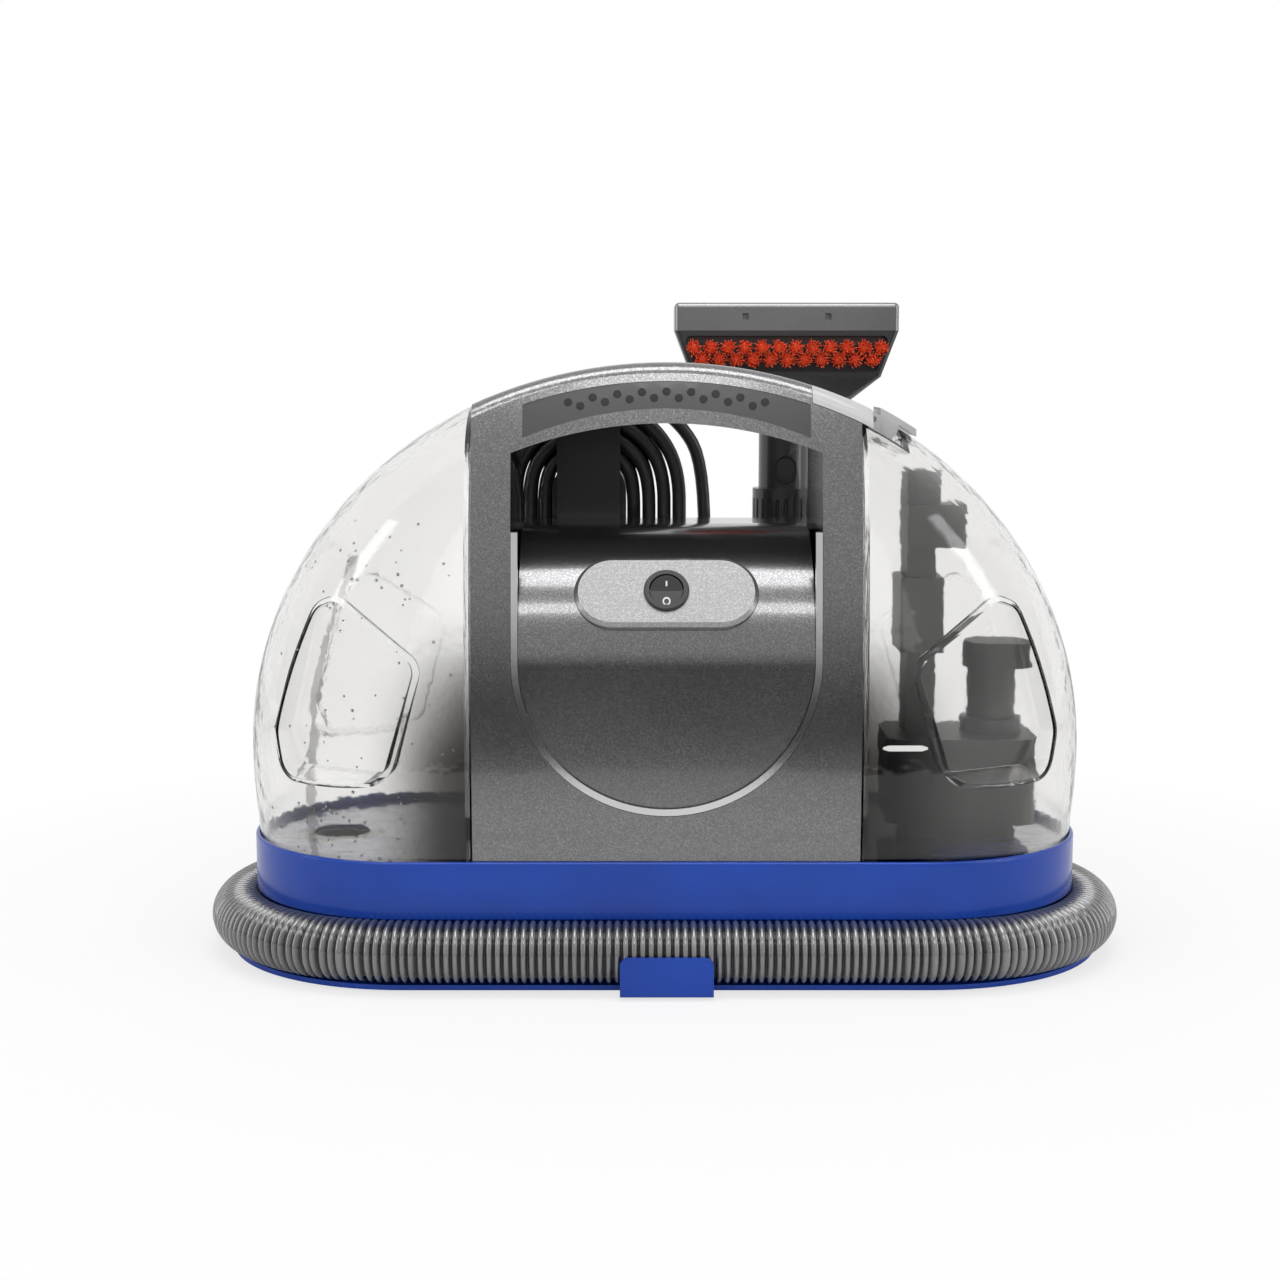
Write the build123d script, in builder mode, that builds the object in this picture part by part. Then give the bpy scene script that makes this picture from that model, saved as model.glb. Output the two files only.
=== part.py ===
from build123d import *

import os
from math import acos, asin, cos, degrees, pi, radians, sin, sqrt

os.makedirs("parts", exist_ok=True)

# A portable carpet and upholstery cleaner: a long blue base with its hose wound round it,
# a metallic carrying tower in the middle and a lift-off water tank at each end.
# Millimetres. X runs along the machine, the front faces -Y and the floor is Z = 0.

# Clearances
FIT_GAP = 0.3
SEAT_GAP = 0.15
SHAFT_GAP = 0.05

# Base
BAND_W = 423.0
BAND_D = 170.0
BAND_H = 28.0
BAND_ROUND = 1.2
FOOT_H = 1.5
FLANGE_T = 2.5
FLANGE_OUT = 12.0
TROUGH_IN = 7.4
TROUGH_LAP = 1.2
RIM_T = 1.8
RIM_H = 6.0
DECK_T = 3.0
SHELL_T = 3.0
FLOOR_T = 2.5
FOOT_R = 9.0
FOOT_X = 130.0
FOOT_Y = 48.0
VENT_N = 9
VENT_PITCH = 8.0
VENT_W = 3.5
VENT_L = 46.0
SCREW_R = 1.6
SCREW_HEAD_R = 3.2
SCREW_HEAD_H = 1.6
SCREW_L = 12.0
BOSS_R = 4.5
BASE_SCREW_X = 160.0
BASE_SCREW_Y = 30.0
REAR_SCREW_Z = 192.0
REAR_SCREW_PITCH = 86.0

# Hose, its clip and its port
HOSE_OD = 30.0
HOSE_BORE_R = 10.8
RIB_DEPTH = 1.6
RIB_COUNT = 190
HOSE_GAP = 0.4
RISER_R = 58.0
HOSE_TOP_Z = 110.0
INLET_X = 8.0
INLET_L = 42.0
INLET_ROUND = 5.0
SPIGOT_L = 14.0
SPIGOT_WALL = 1.8
CLIP_W = 44.5
CLIP_TOP_Z = 21.0
CLIP_T = 2.0
CLIP_ROUND = 4.0

# Dome that the tower and the tanks share
DOME_RX = 212.0
DOME_RZ = 195.0
DOME_Z = 105.0
DOME_RY = 84.0
FRONT_RISE = 254.0
DOME_LEAN = 3.0

# Tower and handle
TOWER_W = 187.0
TOWER_BACK = 22.0
PART_Y = -14.8
COLUMN_IN = 74.5
COLUMN_T = 3.0
COLUMN_TOP = 246.0
SILL_Z = 219.5
SILL_T = 3.0
WINDOW_SIDE_Z = 257.0
WINDOW_MID_Z = 271.0
U_CENTRE_Z = 158.0
TRIM_W = 3.2
TRIM_T = 5.0
TRIM_IN = 0.5
ARCH_ROUND = 8.0
GRIP_TOP = 9.0
GRIP_LOW = 7.0
GRIP_HALF_W = 69.0
GRIP_T = 2.6
GRIP_IN = 0.4
DIMPLE_N = 17
DIMPLE_PITCH = 5.9
DIMPLE_R = 2.0
DIMPLE_ZIG = 3.0
DIMPLE_DEPTH = 0.7

# Fascia and switch
FASCIA_T = 3.0
FASCIA_IN = 1.4
PLATE_W = 88.6
PLATE_H = 37.0
PLATE_Z = 190.0
PLATE_PROUD = 2.2
PLATE_DEEP = 6.5
PLATE_BEVEL = 1.8
BEZEL_R = 10.9
BEZEL_T = 1.8
BARREL_R = 9.6
BARREL_L = 14.0
ROCKER_R = 8.0
ROCKER_GAP = 0.35
ROCKER_TILT = 9.0
ROCKER_PIN_R = 1.5

# Rear housing
REAR_Y = 81.0
REAR_TOP = 128.0
REAR_T = 2.5
REAR_ROUND = 10.0
CHANNEL_GAP = 2.5
LOUVRE_N = 7
LOUVRE_PITCH = 6.0
LOUVRE_W = 84.0
LOUVRE_H = 2.6
LOUVRE_X = -28.0

# Tanks
TANK_GAP = 1.0
TANK_WALL = 2.4
TANK_ROUND = 8.0
TANK_LEVELS = 8
SCOOP_X = 158.0
SCOOP_Z = 146.0
SCOOP_DEPTH = 13.0
SCOOP_TURN = 28.0
SCOOP_DRAFT = 16.0
SCOOP_ROUND = 8.0
SCOOP_OUTLINE = ((-8, 39), (36, 10), (20, -43), (-32, -43), (-38, -26), (-20, 35))

# Clean tank cap and valve
CAP_X = 168.0
CAP_R = 21.0
CAP_T = 2.2
CAP_H = 13.0
CAP_FLUTES = 20
CAP_FLUTE_R = 0.9
NECK_R = 17.0
NECK_T = 2.4
NECK_L = 10.0
GASKET_T = 1.3
VALVE_R = 4.0
VALVE_HEAD_R = 8.0
VALVE_HEAD_T = 2.0
VALVE_LIFT = 3.0
VALVE_TAIL = 4.0
POST_R = 3.0
WELL_Z = 36.0
WELL_WALL = 2.0
BARB_R = 3.2
BARB_BORE_R = 1.8
BARB_L = 14.0

# Dirty tank cover, pour lid and floor ports
COVER_T = 8.0
COVER_X0 = 70.0
COVER_X1 = 99.0
COVER_LOW_Z = 240.0
EAR_W = 5.0
LID_X1 = 116.0
LID_Y = -6.0
LID_HALF = 20.0
LID_TAB = 9.0
LID_TAB_T = 3.6
LID_TAB_HALF = 16.0
LID_PIN_R = 1.5
KNUCKLE_R = 3.2
KNUCKLE_GAP = 0.4
KNUCKLE_SINK = 1.12
MOUTH_HALF = 16.0
MOUTH_W = 8.0
PORT_R = 10.5
SEAL_W = 3.0

# Separator inside the dirty tank
SEP_X = 151.0
SEP_W = 76.0
SEP_D = 56.0
SEP_TOP = 110.8
SEP_FOOT_W = 57.0
SEP_FOOT_H = 9.0
SEP_ROUND = 10.0
STACK_X = 130.0
STACK_W = 14.0
STACK_D = 28.0
STACK_T = 2.0
DUCT_X = 137.0
DUCT_W = 29.0
DUCT_D = 34.0
DUCT_LOW = 207.0
DUCT_TOP = 246.0
DUCT_TOP_W = 16.5
DUCT_STEP = 4.0
DUCT_STEP_Z = 229.0
FLOAT_W = 22.0
FLOAT_D = 38.0
FLOAT_LOW = 154.0
FLOAT_H = 38.0
FLOAT_GAP = 0.6
PIPE_X = 168.0
PIPE_R = 12.5
PIPE_T = 2.0
PIPE_TOP = 158.0
PIPE_COLLAR_R = 15.5
PIPE_COLLAR_H = 8.0
DEFLECTOR_H = 13.0
DEFLECTOR_R = 15.0
DEFLECTOR_OUT = 7.0

# Wand, tool and brush
WAND_X = 67.0
WAND_LOW = 98.0
CUFF_H = 26.0
CUFF_R = 17.3
GRIP_WAIST_R = 14.6
COLLAR_Z = 231.0
COLLAR_H = 24.0
COLLAR_FLUTES = 24
FLUTE_R = 0.9
FLUTE_H = 13.0
SOCKET_DEEP = 20.0
TRIGGER_Z = 196.0
TRIGGER_L = 52.0
TRIGGER_W = 12.0
TRIGGER_OFF = 22.5
TRIGGER_SWING = 10.0
TRIGGER_T = 5.0
TRIGGER_HUB_R = 4.0
TRIGGER_PIN_R = 1.6
EAR_T = 3.0
NECK_TUBE_R = 14.0
NECK_TUBE_BORE = 10.8
BUTTON_Z = 241.0
BUTTON_R = 4.0
BUTTON_PROUD = 1.4
BUTTON_TRAVEL = 1.2
TONGUE_GAP = 1.4
TONGUE_L = 16.0
FLARE_LOW = 262.0
HEAD_LOW = 292.0
HEAD_TOP = 332.0
HEAD_LOW_W = 103.0
HEAD_TOP_W = 122.0
HEAD_D = 30.0
HEAD_ROUND = 3.0
LIP_Z = 317.0
LIP_D = 12.0
LIP_ROUND = 2.6
LIP_SLOT = 3.4
LIP_SLOT_X = 22.4
BRUSH_LOW_W = 97.6
BRUSH_TOP_W = 112.0
BRUSH_H = 19.0
BRUSH_Z = 304.5
BRUSH_T = 3.0
BRUSH_SLICE = 0.8
BRUSH_POCKET = 6.0
TUFT_PITCH = 9.2
TUFT_ROWS = (12, 11)
TUFT_ROW_GAP = 6.3
TUFT_STRANDS = 15
TUFT_R = 2.3
STRAND_R = 0.42
STRAND_L = 13.0
STRAND_SPLAY = 0.035
GOLDEN_ANGLE = pi * (3 - sqrt(5))
MOUTH_SLOT_W = 104.0
MOUTH_SLOT_H = 5.0
MOUTH_SLOT_BACK = 6.0
HOLDER_Z = 104.0
HOLDER_H = 18.0
HOLDER_OPEN = 9.0

# Cord store and mains cord
CORD_X = -39.5
CORD_D = 7.0
CORD_PITCH = 8.0
CORD_LAYER = 7.9
CORD_COLUMNS = 4
CORD_IN = 23.5
CORD_START = 0.6
CORD_SAMPLES = 1400
HANK_UP_Z = 232.0
HANK_LOW_Z = 190.0
TAIL_OUT = 14.0
POST_W = 33.0
POST_T = 9.0
POST_TOP = 284.0
STEM_R = 19.4
HOOK_T = 4.0
HOOK_W = 26.0
HOOK_UP = 52.0
HOOK_DOWN = 52.0
HOOK_SHAFT_R = 5.0
HOOK_SHAFT_L = 14.0
RELIEF_H = 24.0
RELIEF_R0 = 6.0
RELIEF_R1 = 4.4
RELIEF_RINGS = 4
RELIEF_RING = 1.2
PLUG_TOP_Z = 206.0
PLUG_L = 34.0
PLUG_W = 22.0
PLUG_T = 14.0
PLUG_ROUND = 3.0
BLADE_L = 16.0
BLADE_W = 6.4
BLADE_T = 1.5
BLADE_PITCH = 12.7

# Motor, fan and pump
MOTOR_X = -25.0
MOTOR_Y = -18.0
FAN_R = 52.0
FAN_H = 30.0
FAN_WALL = 2.0
FAN_EYE_R = 16.0
FAN_OUTLET_W = 30.0
FAN_OUTLET_L = 78.0
MOTOR_R = 34.0
MOTOR_H = 62.0
MOTOR_WALL = 3.0
SHAFT_R = 4.0
BEARING_R = 9.0
BEARING_H = 6.0
ROTOR_R = 24.0
ROTOR_H = 32.0
ROTOR_SLOTS = 12
ROTOR_SLOT_L = 12.0
ROTOR_SLOT_W = 2.5
AIR_GAP = 0.6
CAN_SLOTS = 8
HUB_R = 8.0
IMPELLER_R = 46.0
IMPELLER_DISC_T = 2.0
BLADE_N = 9
BLADE_H = 14.0
VANE_T = 1.5
VANE_TURN = 25.0
PUMP_X = 52.0
PUMP_Y = -20.0
PUMP_R = 17.0
PUMP_H = 58.0
PUMP_BORE_R = 7.0
PUMP_BORE_L = 42.0
TUBE_WALL = 1.4
TUBE_LAP = 10.0
TUBE_TURN_X = -100.0
TUBE_TURN_Y = 46.0
TUBE_BEND_R = 20.0
PLUNGER_L = 34.0
PLUNGER_HEAD_R = 10.0
PLUNGER_HEAD_T = 3.0
PLUNGER_TRAVEL = 3.0


def half_width(z):
    """Half the dome's width at height z: an ellipse above its centre, a slight lean below."""
    if z >= DOME_Z:
        return DOME_RX * sqrt(1 - ((z - DOME_Z) / DOME_RZ) ** 2)
    return DOME_RX - DOME_LEAN * (DOME_Z - z) / (DOME_Z - deck_top)


def half_depth(z):
    """Half the dome's depth at height z, the curve of the machine's front."""
    if z >= DOME_Z:
        return DOME_RY * sqrt(1 - ((z - DOME_Z) / FRONT_RISE) ** 2)
    return DOME_RY - DOME_LEAN * (DOME_Z - z) / (DOME_Z - deck_top)


def side_profile(inset, z_low, z_high, y_back, x_from):
    """Section across the machine: the curved front drawn in by inset, with a flat back."""
    rise = FRONT_RISE - inset
    low = 180 - degrees(asin((z_low - DOME_Z) / rise))
    high = 180 - degrees(asin((z_high - DOME_Z) / rise))
    with BuildSketch(Plane.YZ.offset(x_from)) as profile:
        with BuildLine():
            front = EllipticalCenterArc((0, DOME_Z), DOME_RY - inset, rise, high, arc_size=low - high)
            Polyline(front @ 1, (y_back, z_low), (y_back, z_high), front @ 0)
        make_face()
    return profile.sketch


def front_skin(outer, inner, z_low, z_high, half):
    """Solid skin that follows the machine's front between two insets, half wide each way."""
    with BuildPart() as skin:
        extrude(side_profile(outer, z_low, z_high, 0, -half), amount=2 * half)
        extrude(side_profile(inner, z_low, z_high, 0, -half), amount=2 * half, mode=Mode.SUBTRACT)
    return skin.part


def dome_elevation(drop):
    """Front view of the dome, drawn in by drop, down to the floor."""
    with BuildSketch(Plane.XZ.offset(-BAND_D)) as outline:
        with Locations((0, DOME_Z)):
            Ellipse(DOME_RX - drop, DOME_RZ - drop)
        with Locations((0, DOME_Z / 2)):
            Rectangle(2 * (DOME_RX - drop), DOME_Z)
    return outline.sketch


def dome_rind(outer, inner, x_low, x_high):
    """Slice of the dome's crown between two drops and two X limits, right through in Y."""
    with BuildPart() as rind:
        extrude(dome_elevation(outer), amount=2 * BAND_D)
        extrude(dome_elevation(inner), amount=2 * BAND_D, mode=Mode.SUBTRACT)
        with BuildSketch(Plane.XZ.offset(-BAND_D)):
            with Locations(((x_low + x_high) / 2, dome_top)):
                Rectangle(x_high - x_low, 2 * (dome_top - DOME_Z))
        extrude(amount=2 * BAND_D, mode=Mode.INTERSECT)
    return rind.part


def arched_outline(half, low, top_side, top_mid):
    """Front view with straight sides and an arched top. A low of None gives a round bottom."""
    with BuildSketch(Plane.XZ.offset(-BAND_D)) as outline:
        with BuildLine():
            ThreePointArc((-half, top_side), (0, top_mid), (half, top_side))
            if low is None:
                Line((half, top_side), (half, U_CENTRE_Z))
                ThreePointArc((half, U_CENTRE_Z), (0, U_CENTRE_Z - half), (-half, U_CENTRE_Z))
                Line((-half, U_CENTRE_Z), (-half, top_side))
            else:
                Polyline((half, top_side), (half, low), (-half, low), (-half, top_side))
        make_face()
    return outline.sketch


def dome_solid(inset, z_floor):
    """The whole dome, drawn in by inset square to its surface, from z_floor up."""
    top_angle = acos((tank_face - TANK_ROUND) / DOME_RX)
    steps = [top_angle * i / (TANK_LEVELS - 1) for i in range(TANK_LEVELS)]
    levels = [z_floor] + [DOME_Z + DOME_RZ * sin(step) for step in steps]
    with BuildPart() as dome:
        for z in levels:
            rise = max(0, z - DOME_Z)
            width_in = inset * sqrt(1 + (DOME_RX * rise / DOME_RZ / DOME_RZ) ** 2
                                    / max(1e-6, 1 - (rise / DOME_RZ) ** 2))
            with BuildSketch(Plane.XY.offset(z)):
                SlotOverall(2 * (half_width(z) - width_in), 2 * (half_depth(z) - inset))
        loft()
    return dome.part


def grip_scoop(grow):
    """Tapered block that presses the finger hold into the front of the left-hand tank."""
    turn = radians(SCOOP_TURN)
    out = Vector(-sin(turn), -cos(turn), 0)
    end_r = half_depth(SCOOP_Z)
    end_x = half_width(SCOOP_Z) - end_r
    skin = Vector(-SCOOP_X, -sqrt(end_r ** 2 - (SCOOP_X - end_x) ** 2), SCOOP_Z)
    floor = Plane(skin - out * (SCOOP_DEPTH + grow), x_dir=(cos(turn), -sin(turn), 0), z_dir=out)
    with BuildPart() as scoop:
        with BuildSketch(floor) as outline:
            with BuildLine():
                Polyline(*SCOOP_OUTLINE, close=True)
            make_face()
            fillet(outline.vertices(), SCOOP_ROUND)
            if grow > 0:
                offset(amount=grow)
        extrude(amount=3 * SCOOP_DEPTH, taper=-SCOOP_DRAFT)
    return scoop.part


def keep_piece(builder, name):
    """Label a finished piece and write it to its own file."""
    builder.part.label = name
    export_step(builder.part, f"parts/{name}.step")


# Heights and places that follow from the sizes above
flange_top = FOOT_H + FLANGE_T
hose_z = flange_top + HOSE_OD / 2 + FIT_GAP
hose_out = HOSE_OD / 2 - TROUGH_IN + HOSE_GAP
hose_y = BAND_D / 2 + hose_out
band_straight = (BAND_W - BAND_D) / 2
band_low = hose_z + HOSE_OD / 2 - TROUGH_LAP
band_top = band_low + BAND_H
deck_top = band_top - RIM_H
deck_low = deck_top - DECK_T
tower_half = TOWER_W / 2
tank_face = tower_half + TANK_GAP
tank_low = deck_top + FIT_GAP
tank_floor = tank_low + TANK_WALL
dome_top = DOME_Z + DOME_RZ
cavity_inset = TROUGH_IN + SHELL_T
floor_top = FOOT_H + FLOOR_T
through = 2 * BAND_D

# Where the hose turns up out of the trough towards the stored wand
riser_x = WAND_X + RISER_R
riser_z = hose_z + RISER_R
riser_start = Plane((riser_x, hose_y, hose_z), x_dir=(0, 0, 1), z_dir=(-1, 0, 0))
with BuildLine() as riser_route:
    ThreePointArc(
        (riser_x, hose_y, hose_z),
        (riser_x - RISER_R * sin(pi / 4), hose_y, riser_z - RISER_R * cos(pi / 4)),
        (WAND_X, hose_y, riser_z),
    )
    Line((WAND_X, hose_y, riser_z), (WAND_X, hose_y, HOSE_TOP_Z))
riser_line = riser_route.wire()

# Base shell: foot flange, recessed hose trough, proud band and the decks for the tanks
with BuildPart() as base_shell:
    with BuildSketch(Plane.XY.offset(FOOT_H)):
        SlotOverall(BAND_W + 2 * FLANGE_OUT, BAND_D + 2 * FLANGE_OUT)
    extrude(amount=FLANGE_T)
    with BuildSketch(Plane.XY.offset(FOOT_H)):
        SlotOverall(BAND_W - 2 * TROUGH_IN, BAND_D - 2 * TROUGH_IN)
    extrude(amount=band_low - FOOT_H)
    with BuildSketch(Plane.XY.offset(band_low)):
        SlotOverall(BAND_W, BAND_D)
    extrude(amount=BAND_H)
    fillet(base_shell.faces().sort_by(Axis.Z)[-1].edges(), BAND_ROUND)
    with BuildSketch(Plane.XY.offset(FOOT_H)):
        SlotOverall(BAND_W - 2 * cavity_inset, BAND_D - 2 * cavity_inset)
    extrude(amount=deck_low - FOOT_H, mode=Mode.SUBTRACT)
    with BuildSketch(Plane.XY.offset(deck_top)):
        SlotOverall(BAND_W - 2 * RIM_T, BAND_D - 2 * RIM_T)
        Rectangle(TOWER_W, BAND_D, mode=Mode.SUBTRACT)
    extrude(amount=RIM_H, mode=Mode.SUBTRACT)
    with BuildSketch(Plane.XY.offset(deck_low)):
        Rectangle(2 * COLUMN_IN, BAND_D - 2 * cavity_inset)
        with Locations((-CAP_X, 0)):
            Circle(CAP_R + 2)
        with Locations((PIPE_X, 0), (STACK_X, 0)):
            Circle(PORT_R + SEAL_W)
    extrude(amount=DECK_T + RIM_H, mode=Mode.SUBTRACT)
    with BuildSketch(riser_start):
        Circle(HOSE_OD / 2 + HOSE_GAP)
    sweep(path=riser_line, mode=Mode.SUBTRACT)
keep_piece(base_shell, "base_shell")

# Tower block: the machine's side section drawn across it, trimmed by the dome's front view
tower_side = side_profile(0, band_top, dome_top + ARCH_ROUND, TOWER_BACK, -tower_half)
tower_front_view = dome_elevation(0)
with BuildPart() as tower_block:
    extrude(tower_side, amount=TOWER_W)
    extrude(tower_front_view, amount=through, mode=Mode.INTERSECT)
    crown = tower_block.faces().sort_by(Axis.Z)[-1]
    fillet(crown.edges().filter_by(lambda edge: abs(edge.center().X) < 1), ARCH_ROUND)

column_w = tower_half - COLUMN_IN - 2 * COLUMN_T
column_mid = (tower_half + COLUMN_IN) / 2
column_back = TOWER_BACK - COLUMN_T
column_hollows = [
    side_profile(COLUMN_T, band_top, COLUMN_TOP, column_back, x)
    for x in (COLUMN_IN + COLUMN_T, COLUMN_T - tower_half)
]
belly = side_profile(COLUMN_T, band_top, SILL_Z - SILL_T, column_back, -COLUMN_IN)
u_opening = arched_outline(COLUMN_IN, None, WINDOW_SIDE_Z, WINDOW_MID_Z)
window = arched_outline(COLUMN_IN, SILL_Z, WINDOW_SIDE_Z, WINDOW_MID_Z)
shoulder = dome_rind(-COVER_T, COVER_T + FIT_GAP, COVER_X0 - FIT_GAP, tank_face)
grip_arc = arched_outline(GRIP_HALF_W, WINDOW_SIDE_Z, WINDOW_SIDE_Z + GRIP_LOW, WINDOW_MID_Z + GRIP_LOW)

with BuildPart() as grip_band:
    extrude(dome_elevation(GRIP_TOP), amount=through)
    with BuildSketch(Plane.XZ.offset(-BAND_D)):
        with Locations((0, dome_top)):
            Rectangle(2 * GRIP_HALF_W, 2 * (dome_top - WINDOW_SIDE_Z))
    extrude(amount=through, mode=Mode.INTERSECT)
    extrude(grip_arc, amount=through, mode=Mode.SUBTRACT)
grip_pocket = front_skin(-1, GRIP_IN + GRIP_T, WINDOW_SIDE_Z, dome_top, GRIP_HALF_W)
grip_skin = front_skin(GRIP_IN, GRIP_IN + GRIP_T, WINDOW_SIDE_Z, dome_top, GRIP_HALF_W)

# Front half of the tower: two columns and the carrying arch round a U opening
with BuildPart() as tower_front:
    add(tower_block.part)
    split(bisect_by=Plane.XZ.offset(-PART_Y), keep=Keep.TOP)
    extrude(u_opening, amount=through, mode=Mode.SUBTRACT)
    for hollow in column_hollows:
        extrude(hollow, amount=column_w, mode=Mode.SUBTRACT)
    extrude(belly, amount=2 * COLUMN_IN, mode=Mode.SUBTRACT)
    add(shoulder, mode=Mode.SUBTRACT)
    add(grip_band.part & grip_pocket, mode=Mode.SUBTRACT)
keep_piece(tower_front, "tower_front")

# Rear half of the tower: closes the arch and columns, with the sill shelf behind the fascia
with BuildPart() as tower_rear:
    add(tower_block.part)
    split(bisect_by=Plane.XZ.offset(-PART_Y), keep=Keep.BOTTOM)
    extrude(window, amount=through, mode=Mode.SUBTRACT)
    for hollow in column_hollows:
        extrude(hollow, amount=column_w, mode=Mode.SUBTRACT)
    extrude(belly, amount=2 * COLUMN_IN, mode=Mode.SUBTRACT)
    add(shoulder, mode=Mode.SUBTRACT)
    with BuildSketch(Plane.XZ.offset(-TOWER_BACK)):
        with Locations((0, (band_top + REAR_TOP) / 2 - REAR_T)):
            Rectangle(2 * (COLUMN_IN - COLUMN_T), REAR_TOP - band_top - 2 * REAR_T)
    extrude(amount=COLUMN_T, mode=Mode.SUBTRACT)
    with BuildSketch(Plane.XZ.offset(-TOWER_BACK)):
        with Locations((0, REAR_SCREW_Z)):
            with GridLocations(2 * column_mid, REAR_SCREW_PITCH, 2, 2):
                Circle(SCREW_R + SHAFT_GAP)
    extrude(amount=COLUMN_T, mode=Mode.SUBTRACT)
    with BuildSketch(Plane.XZ.offset(-TOWER_BACK)):
        with Locations((0, REAR_SCREW_Z)):
            with GridLocations(2 * column_mid, REAR_SCREW_PITCH, 2, 2):
                Circle(SCREW_HEAD_R + SEAT_GAP)
    extrude(amount=SCREW_HEAD_H, mode=Mode.SUBTRACT)
keep_piece(tower_rear, "tower_rear")

# Soft grip set into the arch, with a zig-zag row of dimples
with BuildPart() as handle_grip:
    add(grip_band.part)
    add(grip_skin, mode=Mode.INTERSECT)
    for i in range(DIMPLE_N):
        x = (i - (DIMPLE_N - 1) / 2) * DIMPLE_PITCH
        arch_z = DOME_Z + (DOME_RZ - GRIP_TOP) * sqrt(1 - (x / (DOME_RX - GRIP_TOP)) ** 2)
        z = arch_z - (dome_top - GRIP_TOP - WINDOW_MID_Z - GRIP_LOW) / 2 + DIMPLE_ZIG * (0.5 - i % 2)
        with BuildSketch(Plane.XZ.offset(half_depth(z) - GRIP_IN - DIMPLE_DEPTH)):
            with Locations((x, z)):
                Circle(DIMPLE_R)
        extrude(amount=2 * GRIP_T, mode=Mode.SUBTRACT)
keep_piece(handle_grip, "handle_grip")

# Fascia: flat below, rolled back at the top to meet the sill, round at the bottom
fascia_half = COLUMN_IN - TRIM_W - 2 * SEAT_GAP
fascia_y = half_depth(U_CENTRE_Z) - FASCIA_IN
roll_r = fascia_y + PART_Y - SEAT_GAP
roll_z = SILL_Z - roll_r
lean = asin((PLATE_Z - roll_z) / roll_r)
plate_y = roll_r * (1 - cos(lean)) - fascia_y
plate_out = Vector(0, -cos(lean), sin(lean))
plate_plane = Plane((0, plate_y, PLATE_Z), x_dir=(1, 0, 0), z_dir=plate_out)
fascia_u = arched_outline(fascia_half, None, SILL_Z, SILL_Z + SEAT_GAP)
with BuildPart() as fascia:
    with BuildSketch(Plane.YZ.offset(-fascia_half)):
        with BuildLine():
            Line((-fascia_y, U_CENTRE_Z - COLUMN_IN), (-fascia_y, roll_z))
            outer = CenterArc((roll_r - fascia_y, roll_z), roll_r, 180, -90)
            Line(outer @ 1, (roll_r - fascia_y, SILL_Z - FASCIA_T))
            inner = CenterArc((roll_r - fascia_y, roll_z), roll_r - FASCIA_T, 90, 90)
            Line(inner @ 1, (FASCIA_T - fascia_y, U_CENTRE_Z - COLUMN_IN))
            Line((FASCIA_T - fascia_y, U_CENTRE_Z - COLUMN_IN), (-fascia_y, U_CENTRE_Z - COLUMN_IN))
        make_face()
    extrude(amount=2 * fascia_half)
    extrude(fascia_u, amount=through, mode=Mode.INTERSECT)
    with BuildSketch(plate_plane.offset(-PLATE_DEEP - FASCIA_T)):
        SlotOverall(PLATE_W + 2 * SEAT_GAP, PLATE_H + 2 * SEAT_GAP)
    extrude(amount=4 * PLATE_DEEP, mode=Mode.SUBTRACT)
keep_piece(fascia, "fascia")

# Polished U trim between the columns and the fascia
trim_outer = arched_outline(COLUMN_IN - SEAT_GAP, None, SILL_Z, SILL_Z + SEAT_GAP)
trim_inner = arched_outline(COLUMN_IN - SEAT_GAP - TRIM_W, None, SILL_Z + 1, SILL_Z + 2)
trim_skin = front_skin(TRIM_IN, TRIM_T, U_CENTRE_Z - COLUMN_IN, SILL_Z, COLUMN_IN)
with BuildPart() as fascia_trim:
    extrude(trim_outer, amount=through)
    extrude(trim_inner, amount=through, mode=Mode.SUBTRACT)
    add(trim_skin, mode=Mode.INTERSECT)
keep_piece(fascia_trim, "fascia_trim")

# Raised switch plate on the rolled part of the fascia
with BuildPart() as switch_plate:
    with BuildSketch(plate_plane.offset(-PLATE_DEEP)):
        SlotOverall(PLATE_W, PLATE_H)
    extrude(amount=PLATE_DEEP + PLATE_PROUD)
    chamfer(switch_plate.faces().sort_by(Axis(plate_plane.origin, plate_out))[-1].edges(), PLATE_BEVEL)
    with BuildSketch(plate_plane.offset(-PLATE_DEEP)):
        Circle(BARREL_R + SEAT_GAP)
    extrude(amount=PLATE_DEEP + PLATE_PROUD, mode=Mode.SUBTRACT)
keep_piece(switch_plate, "switch_plate")

# Round rocker switch: bezel with a barrel behind the plate, and the rocker on its pin
bezel_plane = plate_plane.offset(PLATE_PROUD)
pivot = bezel_plane.origin - plate_out * 1.0
rocker_hole_r = ROCKER_R + ROCKER_GAP
with BuildPart() as switch_bezel:
    with BuildSketch(bezel_plane):
        Circle(BEZEL_R)
    extrude(amount=BEZEL_T)
    fillet(switch_bezel.faces().sort_by(Axis(bezel_plane.origin, plate_out))[-1].edges(), BEZEL_T / 2)
    with BuildSketch(bezel_plane.offset(-BARREL_L)):
        Circle(BARREL_R)
    extrude(amount=BARREL_L)
    with BuildSketch(bezel_plane.offset(SHELL_T - BARREL_L)):
        Circle(rocker_hole_r)
    extrude(amount=2 * BARREL_L, mode=Mode.SUBTRACT)
    with BuildSketch(Plane(pivot - Vector(BARREL_R, 0, 0), x_dir=(0, 1, 0), z_dir=(1, 0, 0))):
        Circle(ROCKER_PIN_R + SHAFT_GAP)
    extrude(amount=2 * BARREL_R, mode=Mode.SUBTRACT)
keep_piece(switch_bezel, "switch_bezel")

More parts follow.
